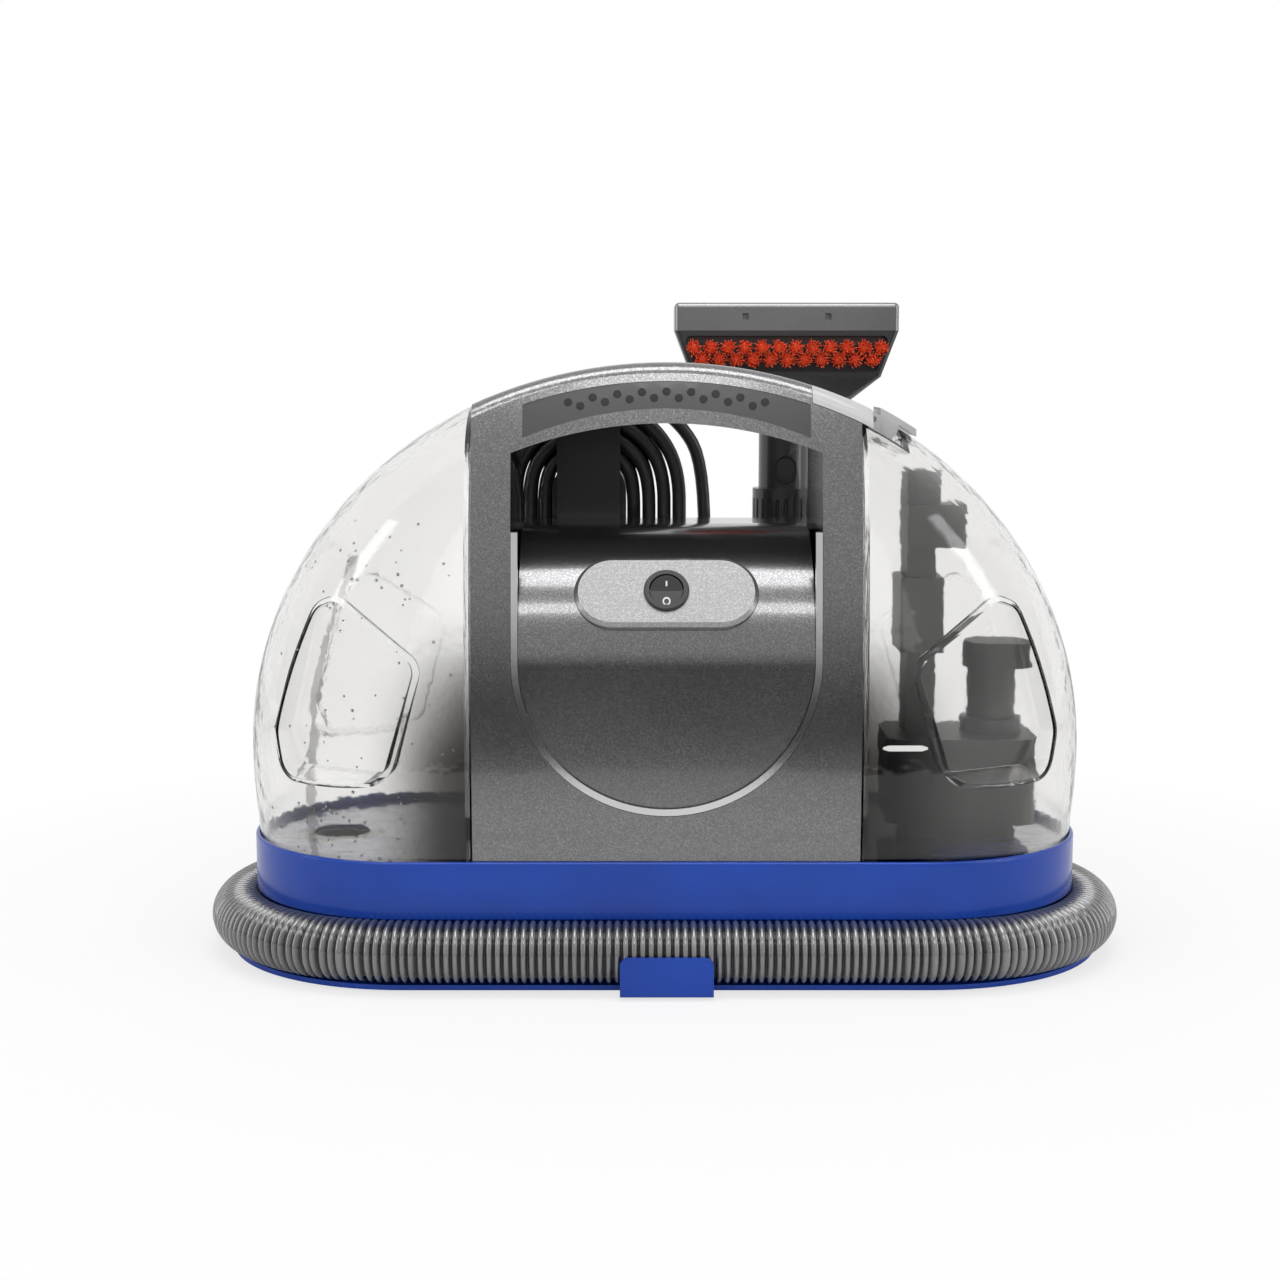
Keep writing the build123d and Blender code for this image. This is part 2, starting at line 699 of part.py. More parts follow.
tilt = lean - radians(ROCKER_TILT)
rocker_out = Vector(0, -cos(tilt), sin(tilt))
rocker_plane = Plane(pivot, x_dir=(1, 0, 0), z_dir=rocker_out)
rocker_drop = ROCKER_R * sin(radians(ROCKER_TILT))
with BuildPart() as switch_rocker:
    with BuildSketch(Plane(pivot - Vector(ROCKER_R, 0, 0), x_dir=rocker_plane.y_dir, z_dir=(1, 0, 0))):
        with BuildLine():
            Polyline(
                (-ROCKER_R, BEZEL_T + 1.0),
                (0, BEZEL_T + 1.0 - rocker_drop),
                (ROCKER_R, BEZEL_T + 1.0),
                (ROCKER_R, -SHELL_T),
                (-ROCKER_R, -SHELL_T),
                close=True,
            )
        make_face()
    extrude(amount=2 * ROCKER_R)
    with BuildSketch(rocker_plane.offset(-BARREL_L)):
        Circle(ROCKER_R)
    extrude(amount=2 * BARREL_L, mode=Mode.INTERSECT)
    with Locations(rocker_plane):
        Sphere(ROCKER_R, mode=Mode.INTERSECT)
    with BuildSketch(Plane(pivot - Vector(BARREL_R, 0, 0), x_dir=(0, 1, 0), z_dir=(1, 0, 0))):
        Circle(ROCKER_PIN_R)
    extrude(amount=2 * BARREL_R)
keep_piece(switch_rocker, "switch_rocker")
print("rocker pivot", pivot)

# Rear housing behind the tower: louvred outlet and a channel for the stored wand
channel_r = CUFF_R + CHANNEL_GAP
with BuildPart() as rear_housing:
    with BuildSketch(Plane.XY.offset(band_top)):
        with Locations((0, (TOWER_BACK + REAR_Y) / 2)):
            Rectangle(TOWER_W, REAR_Y - TOWER_BACK)
    extrude(amount=REAR_TOP - band_top)
    fillet(rear_housing.edges().filter_by(Axis.X).group_by(Axis.Z)[-1].sort_by(Axis.Y)[-1], REAR_ROUND)
    with BuildSketch(Plane.XY.offset(band_top)):
        with Locations((WAND_X, hose_y)):
            Circle(channel_r)
    extrude(amount=REAR_TOP - band_top, mode=Mode.SUBTRACT)
    with BuildSketch(Plane.XY.offset(band_top)):
        with Locations((0, (TOWER_BACK + REAR_Y - REAR_T) / 2)):
            Rectangle(TOWER_W - 2 * REAR_T, REAR_Y - REAR_T - TOWER_BACK)
        with Locations((WAND_X, hose_y)):
            Circle(channel_r + REAR_T, mode=Mode.SUBTRACT)
    extrude(amount=REAR_TOP - band_top - REAR_ROUND, mode=Mode.SUBTRACT)
    with BuildSketch(Plane.XZ.offset(-REAR_Y - 1)):
        with Locations((LOUVRE_X, (band_top + REAR_TOP - REAR_ROUND) / 2)):
            with GridLocations(0, LOUVRE_PITCH, 1, LOUVRE_N):
                SlotOverall(LOUVRE_W, LOUVRE_H)
    extrude(amount=2 * REAR_T, mode=Mode.SUBTRACT)
keep_piece(rear_housing, "rear_housing")

# Floor of the base with its vents, screw bosses and feet
floor_inset = cavity_inset + FIT_GAP
with BuildPart() as base_plate:
    with BuildSketch(Plane.XY.offset(FOOT_H)):
        SlotOverall(BAND_W - 2 * floor_inset, BAND_D - 2 * floor_inset)
        with GridLocations(VENT_PITCH, 0, VENT_N, 1):
            SlotOverall(VENT_L, VENT_W, rotation=90, mode=Mode.SUBTRACT)
    extrude(amount=FLOOR_T)
    with BuildSketch(Plane.XY.offset(floor_top)):
        with GridLocations(2 * BASE_SCREW_X, 2 * BASE_SCREW_Y, 2, 2):
            Circle(BOSS_R)
    extrude(amount=deck_low - floor_top)
    with BuildSketch(Plane.XY.offset(FOOT_H)):
        with GridLocations(2 * BASE_SCREW_X, 2 * BASE_SCREW_Y, 2, 2):
            Circle(SCREW_R + SHAFT_GAP)
    extrude(amount=SCREW_L + SCREW_HEAD_H, mode=Mode.SUBTRACT)
    with BuildSketch(Plane.XY.offset(FOOT_H)):
        with GridLocations(2 * BASE_SCREW_X, 2 * BASE_SCREW_Y, 2, 2):
            Circle(SCREW_HEAD_R + SEAT_GAP)
    extrude(amount=SCREW_HEAD_H, mode=Mode.SUBTRACT)
keep_piece(base_plate, "base_plate")

with BuildPart() as base_screws:
    with BuildSketch(Plane.XY.offset(FOOT_H)):
        with GridLocations(2 * BASE_SCREW_X, 2 * BASE_SCREW_Y, 2, 2):
            Circle(SCREW_HEAD_R)
    extrude(amount=SCREW_HEAD_H)
    with BuildSketch(Plane.XY.offset(FOOT_H)):
        with GridLocations(2 * BASE_SCREW_X, 2 * BASE_SCREW_Y, 2, 2):
            Circle(SCREW_R)
    extrude(amount=SCREW_L)
keep_piece(base_screws, "base_screws")

with BuildPart() as feet:
    with BuildSketch():
        with GridLocations(2 * FOOT_X, 2 * FOOT_Y, 2, 2):
            Circle(FOOT_R)
    extrude(amount=FOOT_H)
keep_piece(feet, "feet")

# Hose clip on the front edge of the foot flange
clip_y = hose_y + HOSE_OD / 2 + FIT_GAP
flange_y = BAND_D / 2 + FLANGE_OUT
with BuildPart() as hose_clip:
    with BuildSketch(Plane.YZ.offset(-CLIP_W / 2)):
        with BuildLine():
            Polyline(
                (-flange_y, FOOT_H),
                (-clip_y - CLIP_T, FOOT_H),
                (-clip_y - CLIP_T, CLIP_TOP_Z),
                (-clip_y, CLIP_TOP_Z),
                (-clip_y, flange_top),
                (-flange_y, flange_top),
                close=True,
            )
        make_face()
    extrude(amount=CLIP_W)
    clip_front = hose_clip.faces().filter_by(Axis.Y).sort_by(Axis.Y)[0]
    fillet(clip_front.edges().filter_by(Axis.X).sort_by(Axis.Z)[0], CLIP_T)
    fillet(hose_clip.edges().filter_by(Axis.Y).group_by(Axis.Z)[-1], CLIP_ROUND)
keep_piece(hose_clip, "hose_clip")

# Hose port at the rear: a block in the trough with a spigot that the hose pushes on to
trough_y = BAND_D / 2 - TROUGH_IN
with BuildPart() as hose_port:
    with BuildSketch(Plane.XY.offset(flange_top)):
        with Locations((INLET_X + INLET_L / 2, (trough_y + hose_y + HOSE_OD / 2) / 2)):
            Rectangle(INLET_L, hose_y + HOSE_OD / 2 - trough_y)
    extrude(amount=band_low - flange_top)
    fillet(hose_port.edges().filter_by(Axis.X).group_by(Axis.Y)[-1], INLET_ROUND)
    with BuildSketch(Plane.YZ.offset(INLET_X)):
        with Locations((hose_y, hose_z)):
            Circle(HOSE_BORE_R - SEAT_GAP)
    extrude(amount=-SPIGOT_L)
    with BuildSketch(Plane.YZ.offset(INLET_X - SPIGOT_L)):
        with Locations((hose_y, hose_z)):
            Circle(HOSE_BORE_R - SEAT_GAP - SPIGOT_WALL)
    extrude(amount=SPIGOT_L + INLET_L / 2, mode=Mode.SUBTRACT)
    with BuildSketch(Plane.XZ.offset(-trough_y)):
        with Locations((INLET_X + INLET_L / 2, hose_z)):
            Circle(HOSE_BORE_R - SEAT_GAP - SPIGOT_WALL)
    extrude(amount=-(hose_y - trough_y), mode=Mode.SUBTRACT)
keep_piece(hose_port, "hose_port")

# Hose: once round the trough, then up to the stored wand
with BuildLine() as hose_route:
    Line((INLET_X, hose_y, hose_z), (-band_straight, hose_y, hose_z))
    ThreePointArc(
        (-band_straight, hose_y, hose_z),
        (-band_straight - hose_y, 0, hose_z),
        (-band_straight, -hose_y, hose_z),
    )
    Line((-band_straight, -hose_y, hose_z), (band_straight, -hose_y, hose_z))
    ThreePointArc(
        (band_straight, -hose_y, hose_z),
        (band_straight + hose_y, 0, hose_z),
        (band_straight, hose_y, hose_z),
    )
    Line((band_straight, hose_y, hose_z), (riser_x, hose_y, hose_z))
    add(riser_line)
hose_line = hose_route.wire()
rib_steps = ((0.0, 0), (0.25, 0), (0.5, 1), (0.8, 1))
rib_places = [(i + at, crest) for i in range(RIB_COUNT) for at, crest in rib_steps] + [(RIB_COUNT, 0)]


def hose_plane(share):
    """Plane square to the hose, with its X axis held steady along the whole route."""
    along = hose_line.tangent_at(share)
    steady = Vector(0, 1, 0).cross(along) if along.Z > 1e-6 else Vector(0, 0, 1)
    return Plane(hose_line.position_at(share), x_dir=steady, z_dir=along)


with BuildPart() as hose:
    for place, crest in rib_places:
        with BuildSketch(hose_plane(place / RIB_COUNT)):
            Circle(HOSE_OD / 2 - RIB_DEPTH * (1 - crest))
    loft(ruled=True)
    with BuildSketch(hose_plane(0)):
        Circle(HOSE_BORE_R)
    sweep(path=hose_line, mode=Mode.SUBTRACT)
keep_piece(hose, "hose")
print("hose length", round(hose_line.length), "volume", round(hose.part.volume))

# Blanks for the left-hand tank, outside and inside; the right-hand tank mirrors them
scoop_front = grip_scoop(0)
scoop_inside = grip_scoop(TANK_WALL)
scoops = [scoop_front, mirror(scoop_front, about=Plane.XZ)]
scoops_inside = [scoop_inside, mirror(scoop_inside, about=Plane.XZ)]
outer_dome = dome_solid(0, tank_low)
inner_dome = dome_solid(TANK_WALL, tank_floor)
with BuildPart() as tank_blank:
    add(outer_dome)
    split(bisect_by=Plane.YZ.offset(-tank_face), keep=Keep.BOTTOM)
    add(scoops, mode=Mode.SUBTRACT)
with BuildPart() as tank_cavity:
    add(inner_dome)
    split(bisect_by=Plane.YZ.offset(-tank_face - TANK_WALL), keep=Keep.BOTTOM)
    add(scoops_inside, mode=Mode.SUBTRACT)

# Clean tank with a threaded neck in its floor
neck_low = tank_low - NECK_L
cap_floor = neck_low - GASKET_T - SEAT_GAP
cap_low = cap_floor - CAP_T
cap_spot = Plane((-CAP_X, 0, 0))
with BuildPart() as clean_tank:
    add(tank_blank.part)
    add(tank_cavity.part, mode=Mode.SUBTRACT)
    with BuildSketch(cap_spot.offset(neck_low)):
        Circle(NECK_R)
    extrude(amount=NECK_L)
    with BuildSketch(cap_spot.offset(neck_low)):
        Circle(NECK_R - NECK_T)
    extrude(amount=NECK_L + 2 * TANK_WALL, mode=Mode.SUBTRACT)
keep_piece(clean_tank, "clean_tank")

with BuildPart() as clean_cap:
    with BuildSketch(cap_spot.offset(cap_low)):
        Circle(CAP_R)
        with PolarLocations(CAP_R, CAP_FLUTES):
            Circle(CAP_FLUTE_R, mode=Mode.SUBTRACT)
    extrude(amount=CAP_H)
    with BuildSketch(cap_spot.offset(cap_floor)):
        Circle(NECK_R + FIT_GAP)
    extrude(amount=CAP_H, mode=Mode.SUBTRACT)
    with BuildSketch(cap_spot.offset(cap_low)):
        Circle(VALVE_R + SHAFT_GAP)
    extrude(amount=CAP_H, mode=Mode.SUBTRACT)
keep_piece(clean_cap, "clean_cap")

with BuildPart() as cap_gasket:
    with BuildSketch(cap_spot.offset(cap_floor)):
        Circle(NECK_R)
        Circle(NECK_R - NECK_T, mode=Mode.SUBTRACT)
    extrude(amount=GASKET_T)
keep_piece(cap_gasket, "cap_gasket")

# Valve in the cap, held open by the post in the base while the tank is on the machine
valve_seat = cap_floor + VALVE_LIFT
valve_low = cap_low + VALVE_LIFT - VALVE_TAIL
with BuildPart() as clean_valve:
    with BuildSketch(cap_spot.offset(valve_low)):
        Circle(VALVE_R)
    extrude(amount=valve_seat - valve_low)
    with BuildSketch(cap_spot.offset(valve_seat)):
        Circle(VALVE_HEAD_R)
    extrude(amount=VALVE_HEAD_T)
keep_piece(clean_valve, "clean_valve")

well_r = CAP_R + 2 + WELL_WALL
with BuildPart() as valve_well:
    with BuildSketch(cap_spot.offset(WELL_Z - WELL_WALL)):
        Circle(well_r)
    extrude(amount=deck_low - WELL_Z + WELL_WALL)
    with BuildSketch(cap_spot.offset(WELL_Z)):
        Circle(CAP_R + 2)
    extrude(amount=deck_low - WELL_Z, mode=Mode.SUBTRACT)
    with BuildSketch(cap_spot.offset(WELL_Z)):
        Circle(POST_R)
    extrude(amount=valve_low - FIT_GAP - WELL_Z)
    with BuildSketch(Plane.YZ.offset(well_r - CAP_X - WELL_WALL / 2)):
        with Locations((0, WELL_Z + BARB_R)):
            Circle(BARB_R)
    extrude(amount=BARB_L)
    with BuildSketch(Plane.YZ.offset(well_r - CAP_X - 2 * WELL_WALL)):
        with Locations((0, WELL_Z + BARB_R)):
            Circle(BARB_BORE_R)
    extrude(amount=BARB_L + 2 * WELL_WALL, mode=Mode.SUBTRACT)
keep_piece(valve_well, "valve_well")

# Dirty tank: crown lowered under the cover and lid, with a pouring mouth and two floor ports
with BuildPart() as dirty_cavity:
    add(mirror(tank_cavity.part, about=Plane.YZ))
    add(dome_rind(-COVER_T, COVER_T + TANK_WALL, 0, LID_X1 + FIT_GAP + TANK_WALL), mode=Mode.SUBTRACT)
lid_low_z = DOME_Z + (DOME_RZ - COVER_T) * sqrt(1 - (LID_X1 / (DOME_RX - COVER_T)) ** 2)
with BuildPart() as dirty_tank:
    add(mirror(tank_blank.part, about=Plane.YZ))
    add(dome_rind(-COVER_T, COVER_T, 0, LID_X1 + FIT_GAP), mode=Mode.SUBTRACT)
    add(dirty_cavity.part, mode=Mode.SUBTRACT)
    with BuildSketch(Plane.XY.offset(lid_low_z - 4 * TANK_WALL)):
        with Locations((LID_X1 - MOUTH_W / 2 - TANK_WALL, LID_Y)):
            Rectangle(MOUTH_W, 2 * MOUTH_HALF)
    extrude(amount=DOME_RZ, mode=Mode.SUBTRACT)
    with BuildSketch(Plane.XY.offset(tank_low)):
        with Locations((PIPE_X, 0), (STACK_X, 0)):
            Circle(PORT_R)
    extrude(amount=2 * TANK_WALL, mode=Mode.SUBTRACT)
keep_piece(dirty_tank, "dirty_tank")

with BuildPart() as port_seals:
    with BuildSketch(Plane.XY.offset(deck_low)):
        with Locations((PIPE_X, 0), (STACK_X, 0)):
            Circle(PORT_R + SEAL_W)
        with Locations((PIPE_X, 0), (STACK_X, 0)):
            Circle(PORT_R, mode=Mode.SUBTRACT)
    extrude(amount=DECK_T)
keep_piece(port_seals, "port_seals")

# Crown cover that lifts with the dirty tank and laps over the tower's shoulder
pin_x = COVER_X1 + KNUCKLE_R + KNUCKLE_GAP
pin_z = DOME_Z + DOME_RZ * sqrt(1 - (pin_x / DOME_RX) ** 2) - KNUCKLE_R * KNUCKLE_SINK
pin_low = LID_Y - LID_HALF - FIT_GAP - EAR_W
pin_high = LID_Y + LID_HALF + FIT_GAP + EAR_W
crown_side = side_profile(0, COVER_LOW_Z, dome_top + ARCH_ROUND, TOWER_BACK, COVER_X0)
cover_rind = dome_rind(-COVER_T, COVER_T, COVER_X0, COVER_X1)
ear_rind = dome_rind(0, COVER_T, COVER_X1 - EAR_W, pin_x + KNUCKLE_R)
with BuildPart() as hinge_ears:
    with BuildSketch(Plane.XY.offset(COVER_LOW_Z)):
        with Locations((pin_x, pin_low + EAR_W / 2), (pin_x, pin_high - EAR_W / 2)):
            Rectangle(6 * KNUCKLE_R, EAR_W)
    extrude(amount=DOME_RZ)
    add(ear_rind, mode=Mode.INTERSECT)
with BuildPart() as crown_cover:
    extrude(crown_side, amount=COVER_X1 - COVER_X0)
    extrude(dome_elevation(0), amount=through, mode=Mode.INTERSECT)
    cover_top = crown_cover.faces().sort_by(Axis.Z)[-1]
    cover_ends = cover_top.edges().filter_by(lambda edge: COVER_X0 + 1 < edge.center().X < COVER_X1 - 1)
    fillet(cover_ends, ARCH_ROUND)
    add(cover_rind, mode=Mode.INTERSECT)
    add(hinge_ears.part)
    with BuildSketch(Plane.XZ.offset(-pin_high)):
        with Locations((pin_x, pin_z)):
            Circle(LID_PIN_R + SHAFT_GAP)
    extrude(amount=pin_high - pin_low, mode=Mode.SUBTRACT)
keep_piece(crown_cover, "crown_cover")

with BuildPart() as lid_pin:
    with BuildSketch(Plane.XZ.offset(-pin_high)):
        with Locations((pin_x, pin_z)):
            Circle(LID_PIN_R)
    extrude(amount=pin_high - pin_low)
keep_piece(lid_pin, "lid_pin")

# Pouring lid on its pin, with a raised finger tab
lid_rind = dome_rind(0, COVER_T - FIT_GAP, pin_x, LID_X1)
lid_end_z = DOME_Z + DOME_RZ * sqrt(1 - (LID_X1 / DOME_RX) ** 2)
lid_reach = sqrt((LID_X1 - pin_x) ** 2 + (pin_z - lid_end_z) ** 2)
tab_root = dome_rind(-LID_TAB_T, FIT_GAP, LID_X1 - LID_TAB, LID_X1)
tab_end = dome_rind(-LID_TAB_T, -2 * FIT_GAP, LID_X1 - LID_TAB, LID_X1 + LID_TAB)
with BuildPart() as lid_tab:
    with BuildSketch(Plane.XY.offset(COVER_LOW_Z)):
        with Locations((LID_X1, LID_Y)):
            Rectangle(4 * LID_TAB, 2 * LID_TAB_HALF)
    extrude(amount=DOME_RZ)
    add(tab_root + tab_end, mode=Mode.INTERSECT)
with BuildPart() as pour_lid:
    with BuildSketch(Plane.XY.offset(COVER_LOW_Z)):
        with Locations((LID_X1, LID_Y)):
            Rectangle(4 * LID_TAB, 2 * LID_HALF)
    extrude(amount=DOME_RZ)
    add(lid_rind, mode=Mode.INTERSECT)
    with BuildSketch(Plane.XZ.offset(-LID_Y - LID_HALF)):
        with Locations((pin_x, pin_z)):
            Circle(lid_reach)
    extrude(amount=2 * LID_HALF, mode=Mode.INTERSECT)
    with BuildSketch(Plane.XZ.offset(-LID_Y - LID_HALF)):
        with Locations((pin_x, pin_z)):
            Circle(KNUCKLE_R)
    extrude(amount=2 * LID_HALF)
    add(lid_tab.part)
    with BuildSketch(Plane.XZ.offset(-LID_Y - LID_HALF)):
        with Locations((pin_x, pin_z)):
            Circle(LID_PIN_R + SHAFT_GAP)
    extrude(amount=2 * LID_HALF, mode=Mode.SUBTRACT)
keep_piece(pour_lid, "pour_lid")
print("lid pin", pin_x, pin_z)

# Separator on the dirty tank's floor: a hollow box, an air stack with a float and an inlet pipe
foot_top = tank_floor + SEP_FOOT_H
with BuildPart() as separator_base:
    with BuildSketch(Plane.XY.offset(tank_floor)):
        with Locations((SEP_X, 0)):
            RectangleRounded(SEP_FOOT_W, SEP_D - 2 * SEP_ROUND, SEP_ROUND / 2)
    extrude(amount=SEP_FOOT_H)
    with BuildSketch(Plane.XY.offset(foot_top)):
        with Locations((SEP_X, 0)):
            RectangleRounded(SEP_W, SEP_D, SEP_ROUND)
    extrude(amount=SEP_TOP - foot_top)
    with BuildSketch(Plane.XY.offset(foot_top + TANK_WALL)):
        with Locations((SEP_X, 0)):
            RectangleRounded(SEP_W - 2 * TANK_WALL, SEP_D - 2 * TANK_WALL, SEP_ROUND - TANK_WALL)
    extrude(amount=SEP_TOP - foot_top - 2 * TANK_WALL, mode=Mode.SUBTRACT)
    with BuildSketch(Plane.XY.offset(tank_floor)):
        with Locations((PIPE_X, 0)):
            Circle(PIPE_R - PIPE_T)
        with Locations((STACK_X, 0)):
            Rectangle(STACK_W - 2 * STACK_T, STACK_D - 2 * STACK_T)
    extrude(amount=SEP_TOP - tank_floor, mode=Mode.SUBTRACT)
keep_piece(separator_base, "separator_base")

duct_left = DUCT_X - DUCT_W / 2
with BuildPart() as air_stack:
    with BuildSketch(Plane.XY.offset(SEP_TOP)):
        with Locations((STACK_X, 0)):
            Rectangle(STACK_W, STACK_D)
    extrude(amount=DUCT_LOW - SEP_TOP)
    with BuildSketch(Plane.XY.offset(DUCT_LOW)):
        with Locations((DUCT_X, 0)):
            Rectangle(DUCT_W, DUCT_D)
    extrude(amount=DUCT_STEP_Z - DUCT_LOW)
    with BuildSketch(Plane.XY.offset(DUCT_STEP_Z)):
        with Locations((duct_left + DUCT_TOP_W / 2, 0)):
            Rectangle(DUCT_TOP_W, DUCT_D - 2 * DUCT_STEP)
    extrude(amount=DUCT_TOP - DUCT_STEP_Z)
    with BuildSketch(Plane.XY.offset(SEP_TOP)):
        with Locations((STACK_X, 0)):
            Rectangle(STACK_W - 2 * STACK_T, STACK_D - 2 * STACK_T)
    extrude(amount=DUCT_TOP - STACK_T - SEP_TOP, mode=Mode.SUBTRACT)
    with BuildSketch(Plane.YZ.offset(STACK_X)):
        with Locations((0, (DUCT_LOW + DUCT_STEP_Z) / 2)):
            Rectangle(DUCT_D - 4 * STACK_T, DUCT_STEP_Z - DUCT_LOW - 2 * STACK_T)
    extrude(amount=DUCT_W, mode=Mode.SUBTRACT)
keep_piece(air_stack, "air_stack")

with BuildPart() as float_sleeve:
    with BuildSketch(Plane.XY.offset(FLOAT_LOW)):
        with Locations((STACK_X, 0)):
            RectangleRounded(FLOAT_W, FLOAT_D, 2)
            Rectangle(STACK_W + 2 * FLOAT_GAP, STACK_D + 2 * FLOAT_GAP, mode=Mode.SUBTRACT)
    extrude(amount=FLOAT_H)
keep_piece(float_sleeve, "float_sleeve")

pipe_spot = Plane((PIPE_X, 0, 0))
with BuildPart() as inlet_pipe:
    with BuildSketch(pipe_spot.offset(SEP_TOP)):
        Circle(PIPE_COLLAR_R)
    extrude(amount=PIPE_COLLAR_H)
    with BuildSketch(pipe_spot.offset(SEP_TOP)):
        Circle(PIPE_R)
    extrude(amount=PIPE_TOP - DEFLECTOR_H - SEP_TOP)
    with BuildSketch(pipe_spot.offset(PIPE_TOP - DEFLECTOR_H)):
        SlotCenterPoint((DEFLECTOR_OUT / 2, 0), (DEFLECTOR_OUT, 0), 2 * DEFLECTOR_R)
    extrude(amount=DEFLECTOR_H)
    with BuildSketch(pipe_spot.offset(SEP_TOP)):
        Circle(PIPE_R - PIPE_T)
    extrude(amount=PIPE_TOP - PIPE_T - SEP_TOP, mode=Mode.SUBTRACT)
    with BuildSketch(Plane.YZ.offset(PIPE_X)):
        with Locations((0, PIPE_TOP - DEFLECTOR_H / 2)):
            Rectangle(DEFLECTOR_R, DEFLECTOR_H - 2 * PIPE_T)
    extrude(amount=2 * DEFLECTOR_R, mode=Mode.SUBTRACT)
keep_piece(inlet_pipe, "inlet_pipe")

# Spray wand stored upright behind the machine: cuff on the hose, waisted grip and collar
wand_spot = Plane((WAND_X, hose_y, 0))
wand_side = Plane((WAND_X, hose_y, 0), x_dir=(1, 0, 0), z_dir=(0, -1, 0))
wand_axis = Axis((WAND_X, hose_y, 0), (0, 0, 1))
cuff_top = WAND_LOW + CUFF_H
socket_low = COLLAR_Z - SOCKET_DEEP
with BuildPart() as wand_cuff:
    with BuildSketch(wand_spot.offset(WAND_LOW)):
        Circle(CUFF_R)
    extrude(amount=CUFF_H)
    chamfer(wand_cuff.edges().group_by(Axis.Z)[0], 1)
    with BuildSketch(wand_spot.offset(WAND_LOW)):
        Circle(HOSE_OD / 2 + FIT_GAP)
    extrude(amount=HOSE_TOP_Z - WAND_LOW, mode=Mode.SUBTRACT)
    with BuildSketch(wand_spot.offset(WAND_LOW)):
        Circle(HOSE_BORE_R)
    extrude(amount=CUFF_H, mode=Mode.SUBTRACT)
keep_piece(wand_cuff, "wand_cuff")

ear_plane = Plane.YZ.offset(WAND_X - TRIGGER_W / 2 - FIT_GAP - EAR_T)
trigger_y = hose_y - TRIGGER_OFF
with BuildPart() as trigger_ears:
    with BuildSketch(ear_plane):
        with BuildLine():
            Polyline(
                (hose_y - HOSE_BORE_R - EAR_T / 2, TRIGGER_Z - 3 * TRIGGER_HUB_R),
                (trigger_y, TRIGGER_Z - TRIGGER_HUB_R),
                (trigger_y - TRIGGER_HUB_R, TRIGGER_Z),
                (trigger_y, TRIGGER_Z + TRIGGER_HUB_R),
                (hose_y - HOSE_BORE_R - EAR_T / 2, TRIGGER_Z + 2 * TRIGGER_HUB_R),
                close=True,
            )
        make_face()
    extrude(amount=EAR_T)
    mirror(about=Plane.YZ.offset(WAND_X))
with BuildPart() as wand_grip:
    with BuildSketch(wand_side):
        with BuildLine():
            Polyline((HOSE_BORE_R, cuff_top), (CUFF_R, cuff_top), (CUFF_R, cuff_top + EAR_T))
            ThreePointArc(
                (CUFF_R, cuff_top + EAR_T),
                (GRIP_WAIST_R, (cuff_top + EAR_T + COLLAR_Z - COLLAR_H) / 2),
                (CUFF_R, COLLAR_Z - COLLAR_H),
            )
            Polyline(
                (CUFF_R, COLLAR_Z - COLLAR_H),
                (CUFF_R, COLLAR_Z),
                (NECK_TUBE_R + SHAFT_GAP, COLLAR_Z),
                (NECK_TUBE_R + SHAFT_GAP, socket_low),
                (HOSE_BORE_R, socket_low),
                (HOSE_BORE_R, cuff_top),
            )
        make_face()
    revolve(axis=wand_axis)
    with BuildSketch(wand_spot.offset(COLLAR_Z - (COLLAR_H + FLUTE_H) / 2)):
        with PolarLocations(CUFF_R, COLLAR_FLUTES):
            Circle(FLUTE_R)
    extrude(amount=FLUTE_H, mode=Mode.SUBTRACT)
    add(trigger_ears.part)
    with BuildSketch(ear_plane):
        with Locations((trigger_y, TRIGGER_Z)):
            Circle(TRIGGER_PIN_R + SHAFT_GAP)
    extrude(amount=2 * EAR_T + TRIGGER_W + 2 * FIT_GAP, mode=Mode.SUBTRACT)
keep_piece(wand_grip, "wand_grip")

with BuildPart() as trigger_pin:
    with BuildSketch(ear_plane):
        with Locations((trigger_y, TRIGGER_Z)):
            Circle(TRIGGER_PIN_R)
    extrude(amount=2 * EAR_T + TRIGGER_W + 2 * FIT_GAP)
keep_piece(trigger_pin, "trigger_pin")

# Spray trigger, standing out from the grip by its own swing
tip_y = trigger_y - TRIGGER_L * sin(radians(TRIGGER_SWING))
tip_z = TRIGGER_Z - TRIGGER_L * cos(radians(TRIGGER_SWING))
with BuildPart() as trigger:
    with BuildSketch(Plane.YZ.offset(WAND_X - TRIGGER_W / 2)):
        with Locations((trigger_y, TRIGGER_Z)):
            Circle(TRIGGER_HUB_R)
        SlotCenterPoint(
            ((trigger_y + tip_y) / 2, (TRIGGER_Z + tip_z) / 2),
            (tip_y, tip_z),
            TRIGGER_T,
        )
        with Locations((trigger_y, TRIGGER_Z)):
            Circle(TRIGGER_PIN_R + SHAFT_GAP, mode=Mode.SUBTRACT)
    extrude(amount=TRIGGER_W)
keep_piece(trigger, "trigger")
print("trigger pivot", trigger_y, TRIGGER_Z)

# Clip on the rear housing that holds the wand by its cuff
with BuildPart() as wand_holder:
    with BuildSketch(wand_spot.offset(HOLDER_Z)):
        Circle(channel_r)
        Circle(CUFF_R + FIT_GAP, mode=Mode.SUBTRACT)
        with Locations((0, HOLDER_OPEN + channel_r)):
            Rectangle(2 * channel_r, 2 * channel_r, mode=Mode.SUBTRACT)
    extrude(amount=HOLDER_H)
keep_piece(wand_holder, "wand_holder")

# Brush tool: neck tube, fan and tapered head, hollow from the mouth slot down
slot_spot = Plane((WAND_X, hose_y + MOUTH_SLOT_BACK, 0))


